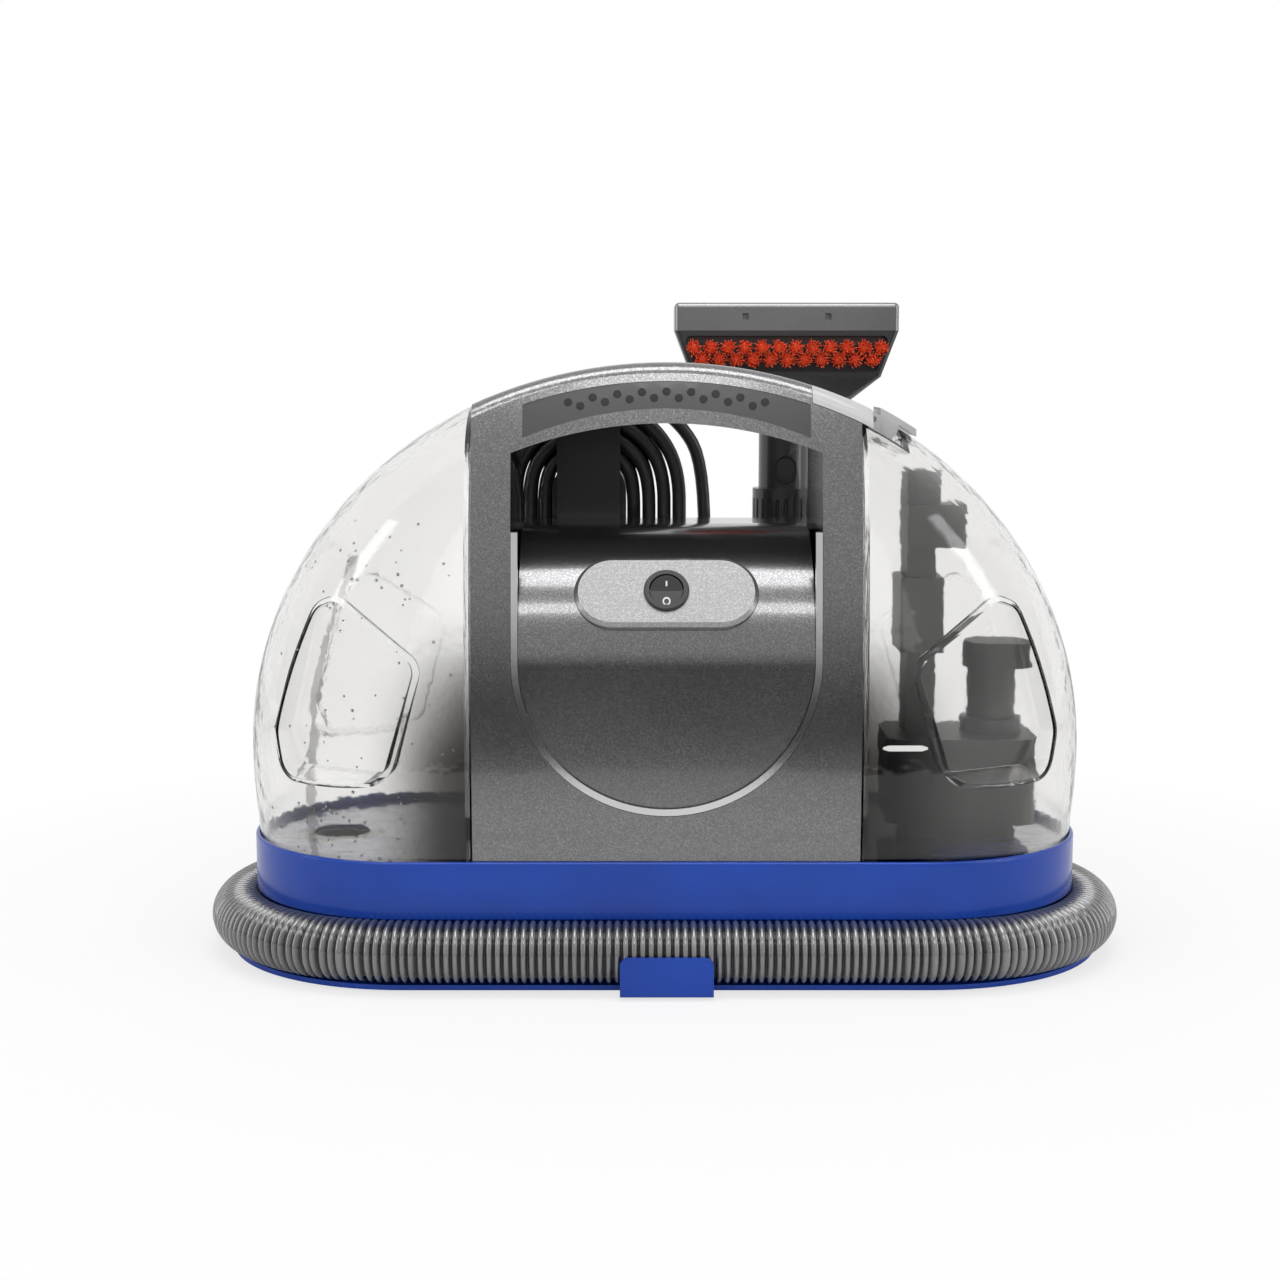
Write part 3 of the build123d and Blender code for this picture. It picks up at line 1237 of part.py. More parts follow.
def brush_outline(grow):
    """Outline of the brush, narrower at its foot like the head round it, drawn out by grow."""
    low, top, high = BRUSH_LOW_W / 2 + grow, BRUSH_TOP_W / 2 + grow, BRUSH_H / 2 + grow
    with BuildSketch() as outline:
        with BuildLine():
            Polyline((-low, -high), (low, -high), (top, high), (-top, high), close=True)
        make_face()
        fillet(outline.vertices(), HEAD_ROUND)
    return Pos(WAND_X, BRUSH_Z) * outline.sketch


with BuildPart() as head_block:
    with BuildSketch(wand_spot.offset(HEAD_LOW)):
        RectangleRounded(HEAD_LOW_W, HEAD_D, HEAD_ROUND)
    with BuildSketch(wand_spot.offset(LIP_Z)):
        RectangleRounded(HEAD_TOP_W, HEAD_D, HEAD_ROUND)
    loft()
    with BuildSketch(wand_spot.offset(LIP_Z)):
        RectangleRounded(HEAD_TOP_W, HEAD_D, HEAD_ROUND)
    extrude(amount=HEAD_TOP - LIP_Z)
    fillet(head_block.faces().sort_by(Axis.Z)[-1].edges(), LIP_ROUND)
with BuildPart() as fan_block:
    with BuildSketch(wand_spot.offset(FLARE_LOW)):
        RectangleRounded(2 * NECK_TUBE_R, 2 * NECK_TUBE_R, NECK_TUBE_R - SHAFT_GAP)
    with BuildSketch(wand_spot.offset(HEAD_LOW)):
        RectangleRounded(HEAD_LOW_W, HEAD_D, HEAD_ROUND)
    loft()
with BuildPart() as fan_hollow:
    with BuildSketch(wand_spot.offset(FLARE_LOW)):
        RectangleRounded(2 * NECK_TUBE_BORE, 2 * NECK_TUBE_BORE, NECK_TUBE_BORE - SHAFT_GAP)
    with BuildSketch(slot_spot.offset(HEAD_LOW)):
        RectangleRounded(MOUTH_SLOT_W - HEAD_D / 2, MOUTH_SLOT_H, MOUTH_SLOT_H / 2 - SHAFT_GAP)
    loft()
lip_front = hose_y - HEAD_D / 2
with BuildPart() as lip_block:
    with BuildSketch(wand_spot.offset(LIP_Z)):
        with Locations((0, LIP_D - HEAD_D / 2 - HEAD_D)):
            Rectangle(2 * HEAD_TOP_W, 2 * HEAD_D)
    extrude(amount=HEAD_TOP - LIP_Z)
with BuildPart() as tool_body:
    add(head_block.part)
    add(fan_block.part)
    add(lip_block.part, mode=Mode.SUBTRACT)
    with BuildSketch(wand_spot.offset(socket_low)):
        Circle(NECK_TUBE_R)
    extrude(amount=FLARE_LOW - socket_low)
    with BuildSketch(wand_spot.offset(socket_low)):
        Circle(NECK_TUBE_BORE)
    extrude(amount=FLARE_LOW - socket_low, mode=Mode.SUBTRACT)
    add(fan_hollow.part, mode=Mode.SUBTRACT)
    with BuildSketch(slot_spot.offset(HEAD_LOW)):
        RectangleRounded(MOUTH_SLOT_W - HEAD_D / 2, MOUTH_SLOT_H, MOUTH_SLOT_H / 2 - SHAFT_GAP)
    with BuildSketch(slot_spot.offset(HEAD_TOP)):
        RectangleRounded(MOUTH_SLOT_W, MOUTH_SLOT_H, MOUTH_SLOT_H / 2 - SHAFT_GAP)
    loft(mode=Mode.SUBTRACT)
    with BuildSketch(Plane.XZ.offset(-lip_front)):
        add(brush_outline(SEAT_GAP))
    extrude(amount=-BRUSH_POCKET, mode=Mode.SUBTRACT)
    with BuildSketch(Plane.XZ.offset(NECK_TUBE_R - hose_y)):
        with Locations((WAND_X, BUTTON_Z)):
            SlotOverall(TONGUE_L, 3 * BUTTON_R, rotation=90)
            SlotOverall(TONGUE_L - 2 * TONGUE_GAP, 3 * BUTTON_R - 2 * TONGUE_GAP, rotation=90, mode=Mode.SUBTRACT)
    extrude(amount=-2 * TONGUE_GAP, mode=Mode.SUBTRACT)
    with BuildSketch(Plane.XZ.offset(NECK_TUBE_R - hose_y)):
        with Locations((WAND_X, BUTTON_Z)):
            Circle(BUTTON_R + SHAFT_GAP)
    extrude(amount=-NECK_TUBE_R, mode=Mode.SUBTRACT)
keep_piece(tool_body, "tool_body")

with BuildPart() as nozzle_lip:
    add(head_block.part)
    add(lip_block.part, mode=Mode.INTERSECT)
    with BuildSketch(Plane.XZ.offset(-lip_front)):
        with Locations((WAND_X, (LIP_Z + HEAD_TOP) / 2)):
            with GridLocations(2 * LIP_SLOT_X, 0, 2, 1):
                Rectangle(LIP_SLOT, LIP_SLOT)
    extrude(amount=-LIP_D / 2, mode=Mode.SUBTRACT)
keep_piece(nozzle_lip, "nozzle_lip")

# Latch button in the neck tube, with a flange that keeps it in its hole
button_front = hose_y - NECK_TUBE_R - BUTTON_PROUD
button_back = hose_y - NECK_TUBE_BORE + FIT_GAP
with BuildPart() as latch_button:
    with BuildSketch(Plane.XZ.offset(-button_front)):
        with Locations((WAND_X, BUTTON_Z)):
            Circle(BUTTON_R)
    extrude(amount=button_front - button_back)
    with BuildSketch(Plane.XZ.offset(-button_back)):
        with Locations((WAND_X, BUTTON_Z)):
            Rectangle(BUTTON_R, 3 * BUTTON_R)
    extrude(amount=-TONGUE_GAP)
keep_piece(latch_button, "latch_button")

# Brush: a backing strip in the head's pocket, and the tufts fused to a slice of it
back_y = lip_front + BRUSH_POCKET
slice_y = back_y - BRUSH_T
with BuildPart() as brush_backing:
    with BuildSketch(Plane.XZ.offset(-back_y)):
        add(brush_outline(0))
    extrude(amount=BRUSH_T - BRUSH_SLICE)
keep_piece(brush_backing, "brush_backing")

strands = []
for row, count in enumerate(TUFT_ROWS):
    for i in range(count):
        tuft_x = WAND_X + (i - (count - 1) / 2) * TUFT_PITCH
        tuft_z = BRUSH_Z + TUFT_ROW_GAP * (0.5 - row)
        for k in range(TUFT_STRANDS):
            angle = k * GOLDEN_ANGLE
            out = TUFT_R * sqrt((k + 0.5) / TUFT_STRANDS)
            foot = Plane(
                (tuft_x + out * cos(angle), slice_y + BRUSH_SLICE / 2, tuft_z + out * sin(angle)),
                x_dir=(cos(angle), 0, sin(angle)),
                z_dir=(0, -1, 0),
            )
            spread = STRAND_SPLAY * out
            reach = Vector(spread * cos(angle), -1, spread * sin(angle)) * STRAND_L
            strands.append(Solid.extrude(foot * RegularPolygon(STRAND_R, 3).face(), reach))
with BuildPart() as bristles:
    with BuildSketch(Plane.XZ.offset(-slice_y - BRUSH_SLICE)):
        add(brush_outline(0))
    extrude(amount=BRUSH_SLICE)
    add(strands)
keep_piece(bristles, "bristles")
print("strands", len(strands), "bristle solids", len(bristles.solids()))

# Cord store on the back of the tower: a post, a long stem and a fixed lower arm
stem_l = (CORD_COLUMNS - 1) * CORD_LAYER + CORD_D + 2 * CORD_START
arm_y = TOWER_BACK + POST_T + stem_l
with BuildPart() as cord_post:
    with BuildSketch(Plane.XZ.offset(-TOWER_BACK)):
        with Locations((CORD_X, (REAR_TOP + POST_TOP) / 2)):
            Rectangle(POST_W, POST_TOP - REAR_TOP)
    extrude(amount=-POST_T)
    with BuildSketch(Plane.XZ.offset(-TOWER_BACK - POST_T)):
        with Locations((CORD_X, (HANK_UP_Z + HANK_LOW_Z) / 2)):
            SlotOverall(HANK_UP_Z - HANK_LOW_Z + 2 * STEM_R, 2 * STEM_R, rotation=90)
    extrude(amount=-stem_l)
    with BuildSketch(Plane.XZ.offset(-arm_y)):
        with Locations((CORD_X, HANK_LOW_Z - HOOK_DOWN / 2 + HOOK_W / 2)):
            SlotOverall(HOOK_DOWN + HOOK_W, HOOK_W, rotation=90)
    extrude(amount=-HOOK_T)
    with BuildSketch(Plane.XZ.offset(-arm_y - HOOK_T)):
        with Locations((CORD_X, HANK_UP_Z)):
            Circle(HOOK_SHAFT_R + SHAFT_GAP)
    extrude(amount=HOOK_SHAFT_L + HOOK_T, mode=Mode.SUBTRACT)
keep_piece(cord_post, "cord_post")

# Swivel hook that keeps the cord on the stem and turns down to let it off
hook_y = arm_y + HOOK_T + FIT_GAP
with BuildPart() as cord_hook:
    with BuildSketch(Plane.XZ.offset(-hook_y)):
        with Locations((CORD_X, HANK_UP_Z + HOOK_UP / 2 - HOOK_W / 2)):
            SlotOverall(HOOK_UP + HOOK_W, HOOK_W, rotation=90)
    extrude(amount=-HOOK_T)
    fillet(cord_hook.faces().sort_by(Axis.Y)[-1].edges(), HOOK_T / 4)
    with BuildSketch(Plane.XZ.offset(-hook_y)):
        with Locations((CORD_X, HANK_UP_Z)):
            Circle(HOOK_SHAFT_R)
    extrude(amount=HOOK_SHAFT_L)
keep_piece(cord_hook, "cord_hook")

# Strain relief where the mains cord leaves the rear housing
cord_y = TOWER_BACK + POST_T + CORD_D / 2 + CORD_START
cord_out = CORD_IN + (CORD_COLUMNS - 1) * CORD_PITCH
relief_spot = Plane((CORD_X - cord_out, cord_y, 0))
relief_top = REAR_TOP + RELIEF_H
with BuildPart() as strain_relief:
    with BuildSketch(relief_spot.offset(REAR_TOP)):
        Circle(RELIEF_R0)
    with BuildSketch(relief_spot.offset(relief_top)):
        Circle(RELIEF_R1)
    loft()
    for i in range(RELIEF_RINGS):
        with BuildSketch(relief_spot.offset(REAR_TOP + (i + 1) * RELIEF_H / (RELIEF_RINGS + 1))):
            Circle(RELIEF_R0)
            Circle(RELIEF_R1 - RELIEF_RING, mode=Mode.SUBTRACT)
        extrude(amount=RELIEF_RING, mode=Mode.SUBTRACT)
keep_piece(strain_relief, "strain_relief")

# Mains cord: in and out over four layers on the stem, then down to the plug
columns = [CORD_IN + i * CORD_PITCH for i in range(CORD_COLUMNS)]
inward = columns[::-1]
layers = (
    list(zip(inward, inward)),
    list(zip(columns[:-1], columns[1:])),
    list(zip(inward[:-1], inward[1:])),
    list(zip(columns[:-2], columns[1:-1])),
)
edges = []


def cord_run(x_from, x_to, layer, top):
    """Half turn over the top or under the bottom of the stem, from one column to another."""
    z = HANK_UP_Z if top else HANK_LOW_Z
    swing = abs(x_to - x_from) / 2 * (1 if top else -1)
    y = cord_y + layer * CORD_LAYER
    mid = (CORD_X + (x_from + x_to) / 2, y, z + swing)
    return Edge.make_three_point_arc((CORD_X + x_from, y, z), mid, (CORD_X + x_to, y, z))


def cord_climb(x, layer):
    """Downward run on the right that moves out to the next layer in a gentle S of two arcs."""
    y = cord_y + layer * CORD_LAYER
    start = Vector(CORD_X + x, y, HANK_UP_Z)
    finish = Vector(CORD_X + x, y + CORD_LAYER, HANK_LOW_Z)
    middle = (start + finish) / 2
    first = Edge.make_tangent_arc(start, Vector(0, 0, -1), middle)
    second = Edge.make_tangent_arc(middle, first % 1, finish)
    return [first, second]


def cord_straight(x, layer, z_from, z_to):
    """Straight run up or down one column."""
    y = cord_y + layer * CORD_LAYER
    return Edge.make_line((CORD_X + x, y, z_from), (CORD_X + x, y, z_to))


edges.append(cord_straight(-cord_out, 0, relief_top, HANK_UP_Z))
for layer, turns in enumerate(layers):
    for i, (left, right) in enumerate(turns):
        if layer > 0 or i > 0:
            came = turns[i - 1][1] if i > 0 else layers[layer - 1][-1][1]
            edges.append(cord_run(came, -left, layer, False))
            edges.append(cord_straight(-left, layer, HANK_LOW_Z, HANK_UP_Z))
        edges.append(cord_run(-left, right, layer, True))
        if i < len(turns) - 1 or layer == len(layers) - 1:
            edges.append(cord_straight(right, layer, HANK_UP_Z, HANK_LOW_Z))
        else:
            edges.extend(cord_climb(right, layer))
last_left = columns[-2]
tail_x = cord_out + TAIL_OUT
last = len(layers) - 1
edges.append(cord_run(layers[-1][-1][1], -last_left, last, False))
edges.append(cord_straight(-last_left, last, HANK_LOW_Z, HANK_UP_Z))
edges.append(cord_run(-last_left, tail_x, last, True))
edges.append(cord_straight(tail_x, last, HANK_UP_Z, PLUG_TOP_Z))
cord_line = Wire(edges)
cord_start = Plane((CORD_X - cord_out, cord_y, relief_top))
with BuildPart() as cord_hank:
    with BuildSketch(cord_start):
        Circle(CORD_D / 2)
    sweep(path=cord_line)
keep_piece(cord_hank, "cord_hank")

cord_l = cord_line.length
points = [cord_line.position_at(i / CORD_SAMPLES) for i in range(CORD_SAMPLES + 1)]
apart = int(6 * CORD_D / cord_l * CORD_SAMPLES)
least = min(
    (points[i] - points[j]).length
    for i in range(0, CORD_SAMPLES, 2)
    for j in range(i + apart, CORD_SAMPLES + 1)
)
radii = sorted({round(edge.radius, 1) for edge in edges if edge.geom_type == GeomType.CIRCLE})
print("cord length", round(cord_l), "least self-gap", round(least - CORD_D, 2), "bend radii", radii)

# Two-pin plug hanging at the end of the cord
plug_spot = Plane((CORD_X + tail_x, cord_y + last * CORD_LAYER, 0))
plug_low = PLUG_TOP_Z - PLUG_L
with BuildPart() as plug:
    with BuildSketch(plug_spot.offset(plug_low)):
        RectangleRounded(PLUG_W, PLUG_T, PLUG_ROUND)
    with BuildSketch(plug_spot.offset(plug_low + PLUG_L / 2)):
        RectangleRounded(PLUG_W, PLUG_T, PLUG_ROUND)
    with BuildSketch(plug_spot.offset(PLUG_TOP_Z)):
        RectangleRounded(PLUG_T, PLUG_T - PLUG_ROUND, PLUG_ROUND)
    loft(ruled=True)
keep_piece(plug, "plug")

with BuildPart() as plug_blades:
    with BuildSketch(plug_spot.offset(plug_low)):
        with GridLocations(BLADE_PITCH, 0, 2, 1):
            Rectangle(BLADE_T, BLADE_W)
    extrude(amount=-BLADE_L)
keep_piece(plug_blades, "plug_blades")

# Suction fan on the base floor: housing with an eye below and an outlet to the rear
fan_spot = Plane((MOTOR_X, MOTOR_Y, 0))
fan_top = floor_top + FAN_H
outlet_x = FAN_R - FAN_OUTLET_W / 2
with BuildPart() as fan_housing:
    with BuildSketch(fan_spot.offset(floor_top)):
        Circle(FAN_R)
        with Locations((outlet_x, FAN_OUTLET_L / 2)):
            Rectangle(FAN_OUTLET_W, FAN_OUTLET_L)
    extrude(amount=FAN_H)
    with BuildSketch(fan_spot.offset(floor_top + FAN_WALL)):
        Circle(FAN_R - FAN_WALL)
        with Locations((outlet_x, FAN_OUTLET_L / 2)):
            Rectangle(FAN_OUTLET_W - 2 * FAN_WALL, FAN_OUTLET_L)
    extrude(amount=FAN_H - 2 * FAN_WALL, mode=Mode.SUBTRACT)
    with BuildSketch(fan_spot.offset(floor_top)):
        Circle(FAN_EYE_R)
    extrude(amount=FAN_WALL, mode=Mode.SUBTRACT)
    with BuildSketch(fan_spot.offset(fan_top - FAN_WALL)):
        Circle(SHAFT_R + 1)
    extrude(amount=FAN_WALL, mode=Mode.SUBTRACT)
keep_piece(fan_housing, "fan_housing")

impeller_low = floor_top + 2 * FAN_WALL
blade_mid = (HUB_R + IMPELLER_R) / 2
with BuildPart() as impeller:
    with BuildSketch(fan_spot.offset(impeller_low)):
        Circle(IMPELLER_R)
    extrude(amount=IMPELLER_DISC_T)
    with BuildSketch(fan_spot.offset(impeller_low)):
        Circle(HUB_R)
        with PolarLocations(blade_mid, BLADE_N):
            Rectangle(IMPELLER_R - HUB_R - 4, VANE_T, rotation=VANE_TURN)
    extrude(amount=IMPELLER_DISC_T + BLADE_H)
    with BuildSketch(fan_spot.offset(impeller_low)):
        Circle(SHAFT_R)
    extrude(amount=FAN_H, mode=Mode.SUBTRACT)
keep_piece(impeller, "impeller")

# Motor on top of the fan: can with cooling slots, stator ring, two bearings and the rotor
can_top = fan_top + MOTOR_H
bearing_low = fan_top
bearing_high = can_top - MOTOR_WALL - BEARING_H
with BuildPart() as motor_can:
    with BuildSketch(fan_spot.offset(fan_top)):
        Circle(MOTOR_R)
    extrude(amount=MOTOR_H)
    with BuildSketch(fan_spot.offset(fan_top + MOTOR_WALL)):
        Circle(MOTOR_R - MOTOR_WALL)
    extrude(amount=MOTOR_H - 2 * MOTOR_WALL, mode=Mode.SUBTRACT)
    with BuildSketch(fan_spot.offset(fan_top)):
        Circle(BEARING_R + MOTOR_WALL)
    extrude(amount=BEARING_H)
    with BuildSketch(fan_spot.offset(bearing_high)):
        Circle(BEARING_R + MOTOR_WALL)
    extrude(amount=BEARING_H)
    with BuildSketch(fan_spot.offset(fan_top)):
        Circle(BEARING_R)
    extrude(amount=BEARING_H, mode=Mode.SUBTRACT)
    with BuildSketch(fan_spot.offset(bearing_high)):
        Circle(BEARING_R)
    extrude(amount=BEARING_H, mode=Mode.SUBTRACT)
    with BuildSketch(fan_spot.offset(can_top - MOTOR_WALL)):
        with PolarLocations((BEARING_R + MOTOR_R) / 2, CAN_SLOTS):
            SlotOverall(MOTOR_WALL * 4, MOTOR_WALL)
    extrude(amount=MOTOR_WALL, mode=Mode.SUBTRACT)
keep_piece(motor_can, "motor_can")

rotor_low = (fan_top + can_top - ROTOR_H) / 2
with BuildPart() as motor_stator:
    with BuildSketch(fan_spot.offset(rotor_low)):
        Circle(MOTOR_R - MOTOR_WALL)
        Circle(ROTOR_R + AIR_GAP, mode=Mode.SUBTRACT)
    extrude(amount=ROTOR_H)
keep_piece(motor_stator, "motor_stator")

with BuildPart() as motor_bearings:
    for low in (bearing_low, bearing_high):
        with BuildSketch(fan_spot.offset(low)):
            Circle(BEARING_R)
            Circle(SHAFT_R + SHAFT_GAP, mode=Mode.SUBTRACT)
        extrude(amount=BEARING_H)
keep_piece(motor_bearings, "motor_bearings")

with BuildPart() as motor_rotor:
    with BuildSketch(fan_spot.offset(impeller_low)):
        Circle(SHAFT_R)
    extrude(amount=bearing_high + BEARING_H - FIT_GAP - impeller_low)
    with BuildSketch(fan_spot.offset(rotor_low)):
        Circle(ROTOR_R)
        with PolarLocations(ROTOR_R, ROTOR_SLOTS):
            Rectangle(ROTOR_SLOT_L, ROTOR_SLOT_W, mode=Mode.SUBTRACT)
    extrude(amount=ROTOR_H)
keep_piece(motor_rotor, "motor_rotor")

# Spray pump beside the fan, its sprung plunger, and the water tube from the valve well
pump_spot = Plane((PUMP_X, PUMP_Y, 0))
pump_top = floor_top + PUMP_H
tube_z = WELL_Z + BARB_R
pump_side = PUMP_Y + PUMP_R
with BuildPart() as pump_body:
    with BuildSketch(pump_spot.offset(floor_top)):
        Circle(PUMP_R)
    extrude(amount=PUMP_H)
    with BuildSketch(Plane.XZ.offset(PUMP_R / 2 - pump_side)):
        with Locations((PUMP_X, tube_z)):
            Circle(BARB_R)
    extrude(amount=-PUMP_R / 2 - BARB_L)
    with BuildSketch(pump_spot.offset(pump_top - PUMP_BORE_L)):
        Circle(PUMP_BORE_R)
    extrude(amount=PUMP_BORE_L, mode=Mode.SUBTRACT)
    with BuildSketch(Plane.XZ.offset(-PUMP_Y)):
        with Locations((PUMP_X, tube_z)):
            Circle(BARB_BORE_R)
    extrude(amount=-PUMP_R - BARB_L, mode=Mode.SUBTRACT)
keep_piece(pump_body, "pump_body")

plunger_head = pump_top + PLUNGER_TRAVEL + FIT_GAP
with BuildPart() as pump_plunger:
    with BuildSketch(pump_spot.offset(plunger_head - PLUNGER_L)):
        Circle(PUMP_BORE_R - SHAFT_GAP)
    extrude(amount=PLUNGER_L)
    with BuildSketch(pump_spot.offset(plunger_head)):
        Circle(PLUNGER_HEAD_R)
    extrude(amount=PLUNGER_HEAD_T)
keep_piece(pump_plunger, "pump_plunger")

barb_end = well_r - CAP_X - WELL_WALL / 2 + BARB_L
tube_start = barb_end - TUBE_LAP
with BuildPart() as water_tube:
    with BuildLine() as tube_route:
        FilletPolyline(
            (tube_start, 0, tube_z),
            (TUBE_TURN_X, 0, tube_z),
            (TUBE_TURN_X, TUBE_TURN_Y, tube_z),
            (PUMP_X, TUBE_TURN_Y, tube_z),
            (PUMP_X, pump_side + BARB_L - TUBE_LAP, tube_z),
            radius=TUBE_BEND_R,
        )
    with BuildSketch(Plane.YZ.offset(tube_start)):
        with Locations((0, tube_z)):
            Circle(BARB_R + TUBE_WALL)
            Circle(BARB_R + SHAFT_GAP, mode=Mode.SUBTRACT)
    sweep(path=tube_route.wire())
keep_piece(water_tube, "water_tube")

# Screws that hold the two tower halves together from behind
with BuildPart() as rear_screws:
    with BuildSketch(Plane.XZ.offset(-TOWER_BACK)):
        with Locations((0, REAR_SCREW_Z)):
            with GridLocations(2 * column_mid, REAR_SCREW_PITCH, 2, 2):
                Circle(SCREW_HEAD_R)
    extrude(amount=SCREW_HEAD_H)
    with BuildSketch(Plane.XZ.offset(-TOWER_BACK)):
        with Locations((0, REAR_SCREW_Z)):
            with GridLocations(2 * column_mid, REAR_SCREW_PITCH, 2, 2):
                Circle(SCREW_R)
    extrude(amount=SCREW_L)
    with BuildSketch(Plane.XZ.offset(-TOWER_BACK)):
        with Locations((0, REAR_SCREW_Z)):
            with GridLocations(2 * column_mid, REAR_SCREW_PITCH, 2, 2):
                Rectangle(SCREW_HEAD_R, SCREW_HEAD_H / 2)
                Rectangle(SCREW_HEAD_H / 2, SCREW_HEAD_R)
    extrude(amount=SCREW_HEAD_H / 2, mode=Mode.SUBTRACT)
keep_piece(rear_screws, "rear_screws")
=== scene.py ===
# %% [markdown]
# # Dressing a portable carpet cleaner
# The solids of this machine come packed from CAD as a fixed frame: a blue base with a hose wound round it,
# a grey carrying tower in the middle and a clear water tank at each end.
# This lesson gives every solid a finish and rebuilds the flexible pieces, which CAD only roughs out.
# The scene is in metres, and the front of the machine faces -Y.
# Cord, hose and bristles are laid out in millimetres, as their CAD solids are, and scaled at the end.

# %% Load the frame
import random
from math import atan2, cos, pi, sin

import bpy
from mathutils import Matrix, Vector


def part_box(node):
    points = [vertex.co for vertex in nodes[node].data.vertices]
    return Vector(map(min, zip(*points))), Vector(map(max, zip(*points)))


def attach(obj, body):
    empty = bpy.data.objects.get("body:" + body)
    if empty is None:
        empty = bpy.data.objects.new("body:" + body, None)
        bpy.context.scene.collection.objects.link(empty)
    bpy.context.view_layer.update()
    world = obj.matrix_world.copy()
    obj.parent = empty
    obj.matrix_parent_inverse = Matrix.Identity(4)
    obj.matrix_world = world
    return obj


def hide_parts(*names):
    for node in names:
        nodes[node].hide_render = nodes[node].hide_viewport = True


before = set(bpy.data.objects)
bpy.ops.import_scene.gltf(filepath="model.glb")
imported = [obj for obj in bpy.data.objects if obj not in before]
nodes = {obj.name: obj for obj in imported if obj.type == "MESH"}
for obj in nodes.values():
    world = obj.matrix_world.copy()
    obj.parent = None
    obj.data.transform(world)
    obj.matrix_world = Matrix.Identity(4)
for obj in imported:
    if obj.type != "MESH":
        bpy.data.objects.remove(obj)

scene = bpy.context.scene
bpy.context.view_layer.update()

# %% [markdown]
# ## Camera
# The picture to match was taken from straight in front, a little above the handle, with a long lens.
# A camera could be framed by eye, but here it stands where the measured edges put it:
# 1.07 m in front of the middle, looking down about eight degrees.

# %% Set up the camera
SENSOR_MM, FOCAL_MM = 36.0, 58.9
eye = Vector((-0.0127, -1.070, 0.300))
aim = Vector((-0.0127, 0.0, 0.158))
looks_down = atan2(eye.z - aim.z, aim.y - eye.y)
lens = bpy.data.cameras.new("front_camera")
lens.sensor_width = SENSOR_MM
lens.lens = FOCAL_MM
camera = bpy.data.objects.new("front_camera", lens)
camera.location = eye
camera.rotation_euler = (pi / 2 - looks_down, 0.0, 0.0)
scene.collection.objects.link(camera)
scene.camera = camera
print("camera looks down", round(looks_down * 180 / pi, 2), "degrees")

# %% [markdown]
# ## Mains cord
# The cord is wound on a post behind the carrying window, in four layers of long turns.
# A mesh tube would need a frame at every bend, so the cord is one NURBS spline with a round bevel:
# its control points stand on the corners of a twelve-sided figure round each turn,
# and the spline touches the middle of every side, which is a circle to within a hair.

# %% Wind the mains cord
MM = 0.001
POST_X, TOP_Z, BOTTOM_Z = -39.5, 232.0, 190.0
FIRST_LAYER_Y, LAYER_STEP = 35.1, 7.9
FIRST_COLUMN, COLUMN_STEP, COLUMNS = 23.5, 8.0, 4
CORD_R = 3.5
TAIL_X, PLUG_TOP_Z, RELIEF_TOP_Z = 61.5, 206.0, 152.0
HALF_TURN_POINTS = 6


def half_turn(start, end, across, level, way):
    """Control points of a half turn from start to end, rising above or sinking below the level."""
    step = pi / HALF_TURN_POINTS
    middle, reach = (start + end) / 2, (start - end) / 2
    turn = []
    for i in range(HALF_TURN_POINTS):
        angle = (i + 0.5) * step
        along = middle + reach * cos(angle) / cos(step / 2)
        lift = way * abs(reach) * sin(angle) / cos(step / 2)
        turn.append((along, across, level + lift))
    return turn


def spline_object(name, points, thick):
    """One open, smooth NURBS spline through a list of control points, which carry its half thickness."""
    curve = bpy.data.curves.new(name, "CURVE")
    curve.dimensions = "3D"
    spline = curve.splines.new("NURBS")
    spline.points.add(len(points) - 1)
    for knot, point in zip(spline.points, points):
        knot.co = (*point, 1.0)
        knot.radius = thick
    spline.order_u = 3
    spline.use_endpoint_u = True
    spline.resolution_u = 6
    made = bpy.data.objects.new(name, curve)
    scene.collection.objects.link(made)
    return made


columns = [FIRST_COLUMN + COLUMN_STEP * i for i in range(COLUMNS)]
inward = columns[::-1]
layers = [
    list(zip(inward, inward)),
    list(zip(columns[:-1], columns[1:])),
    list(zip(inward[:-1], inward[1:])),
    list(zip(columns[:-2], columns[1:-1])),
]
half_way = (TOP_Z + BOTTOM_Z) / 2
winding = [(-columns[-1], FIRST_LAYER_Y, RELIEF_TOP_Z)]
came_down = None
for number, turns in enumerate(layers):
    depth = FIRST_LAYER_Y + number * LAYER_STEP
    for left, right in turns:
        if came_down is not None:
            winding += half_turn(came_down, -left, depth, BOTTOM_Z, -1)
            winding.append((-left, depth, half_way))
        winding += half_turn(-left, right, depth, TOP_Z, 1)
        leaves = (left, right) == turns[-1] and number < len(layers) - 1
        winding.append((right, depth + (LAYER_STEP / 2 if leaves else 0.0), half_way))
        came_down = right
winding += half_turn(came_down, -columns[-2], depth, BOTTOM_Z, -1)
winding.append((-columns[-2], depth, half_way))
winding += half_turn(-columns[-2], TAIL_X, depth, TOP_Z, 1)
winding.append((TAIL_X, depth, PLUG_TOP_Z))
route = [((POST_X + x) * MM, y * MM, z * MM) for x, y, z in winding]
cord = spline_object("mains_cord", route, CORD_R * MM)
cord.data.bevel_depth = 1.0
cord.data.bevel_resolution = 4
cord.data.use_fill_caps = True
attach(cord, "machine")
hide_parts("cord_hank")
print("mains cord:", len(route), "control points")

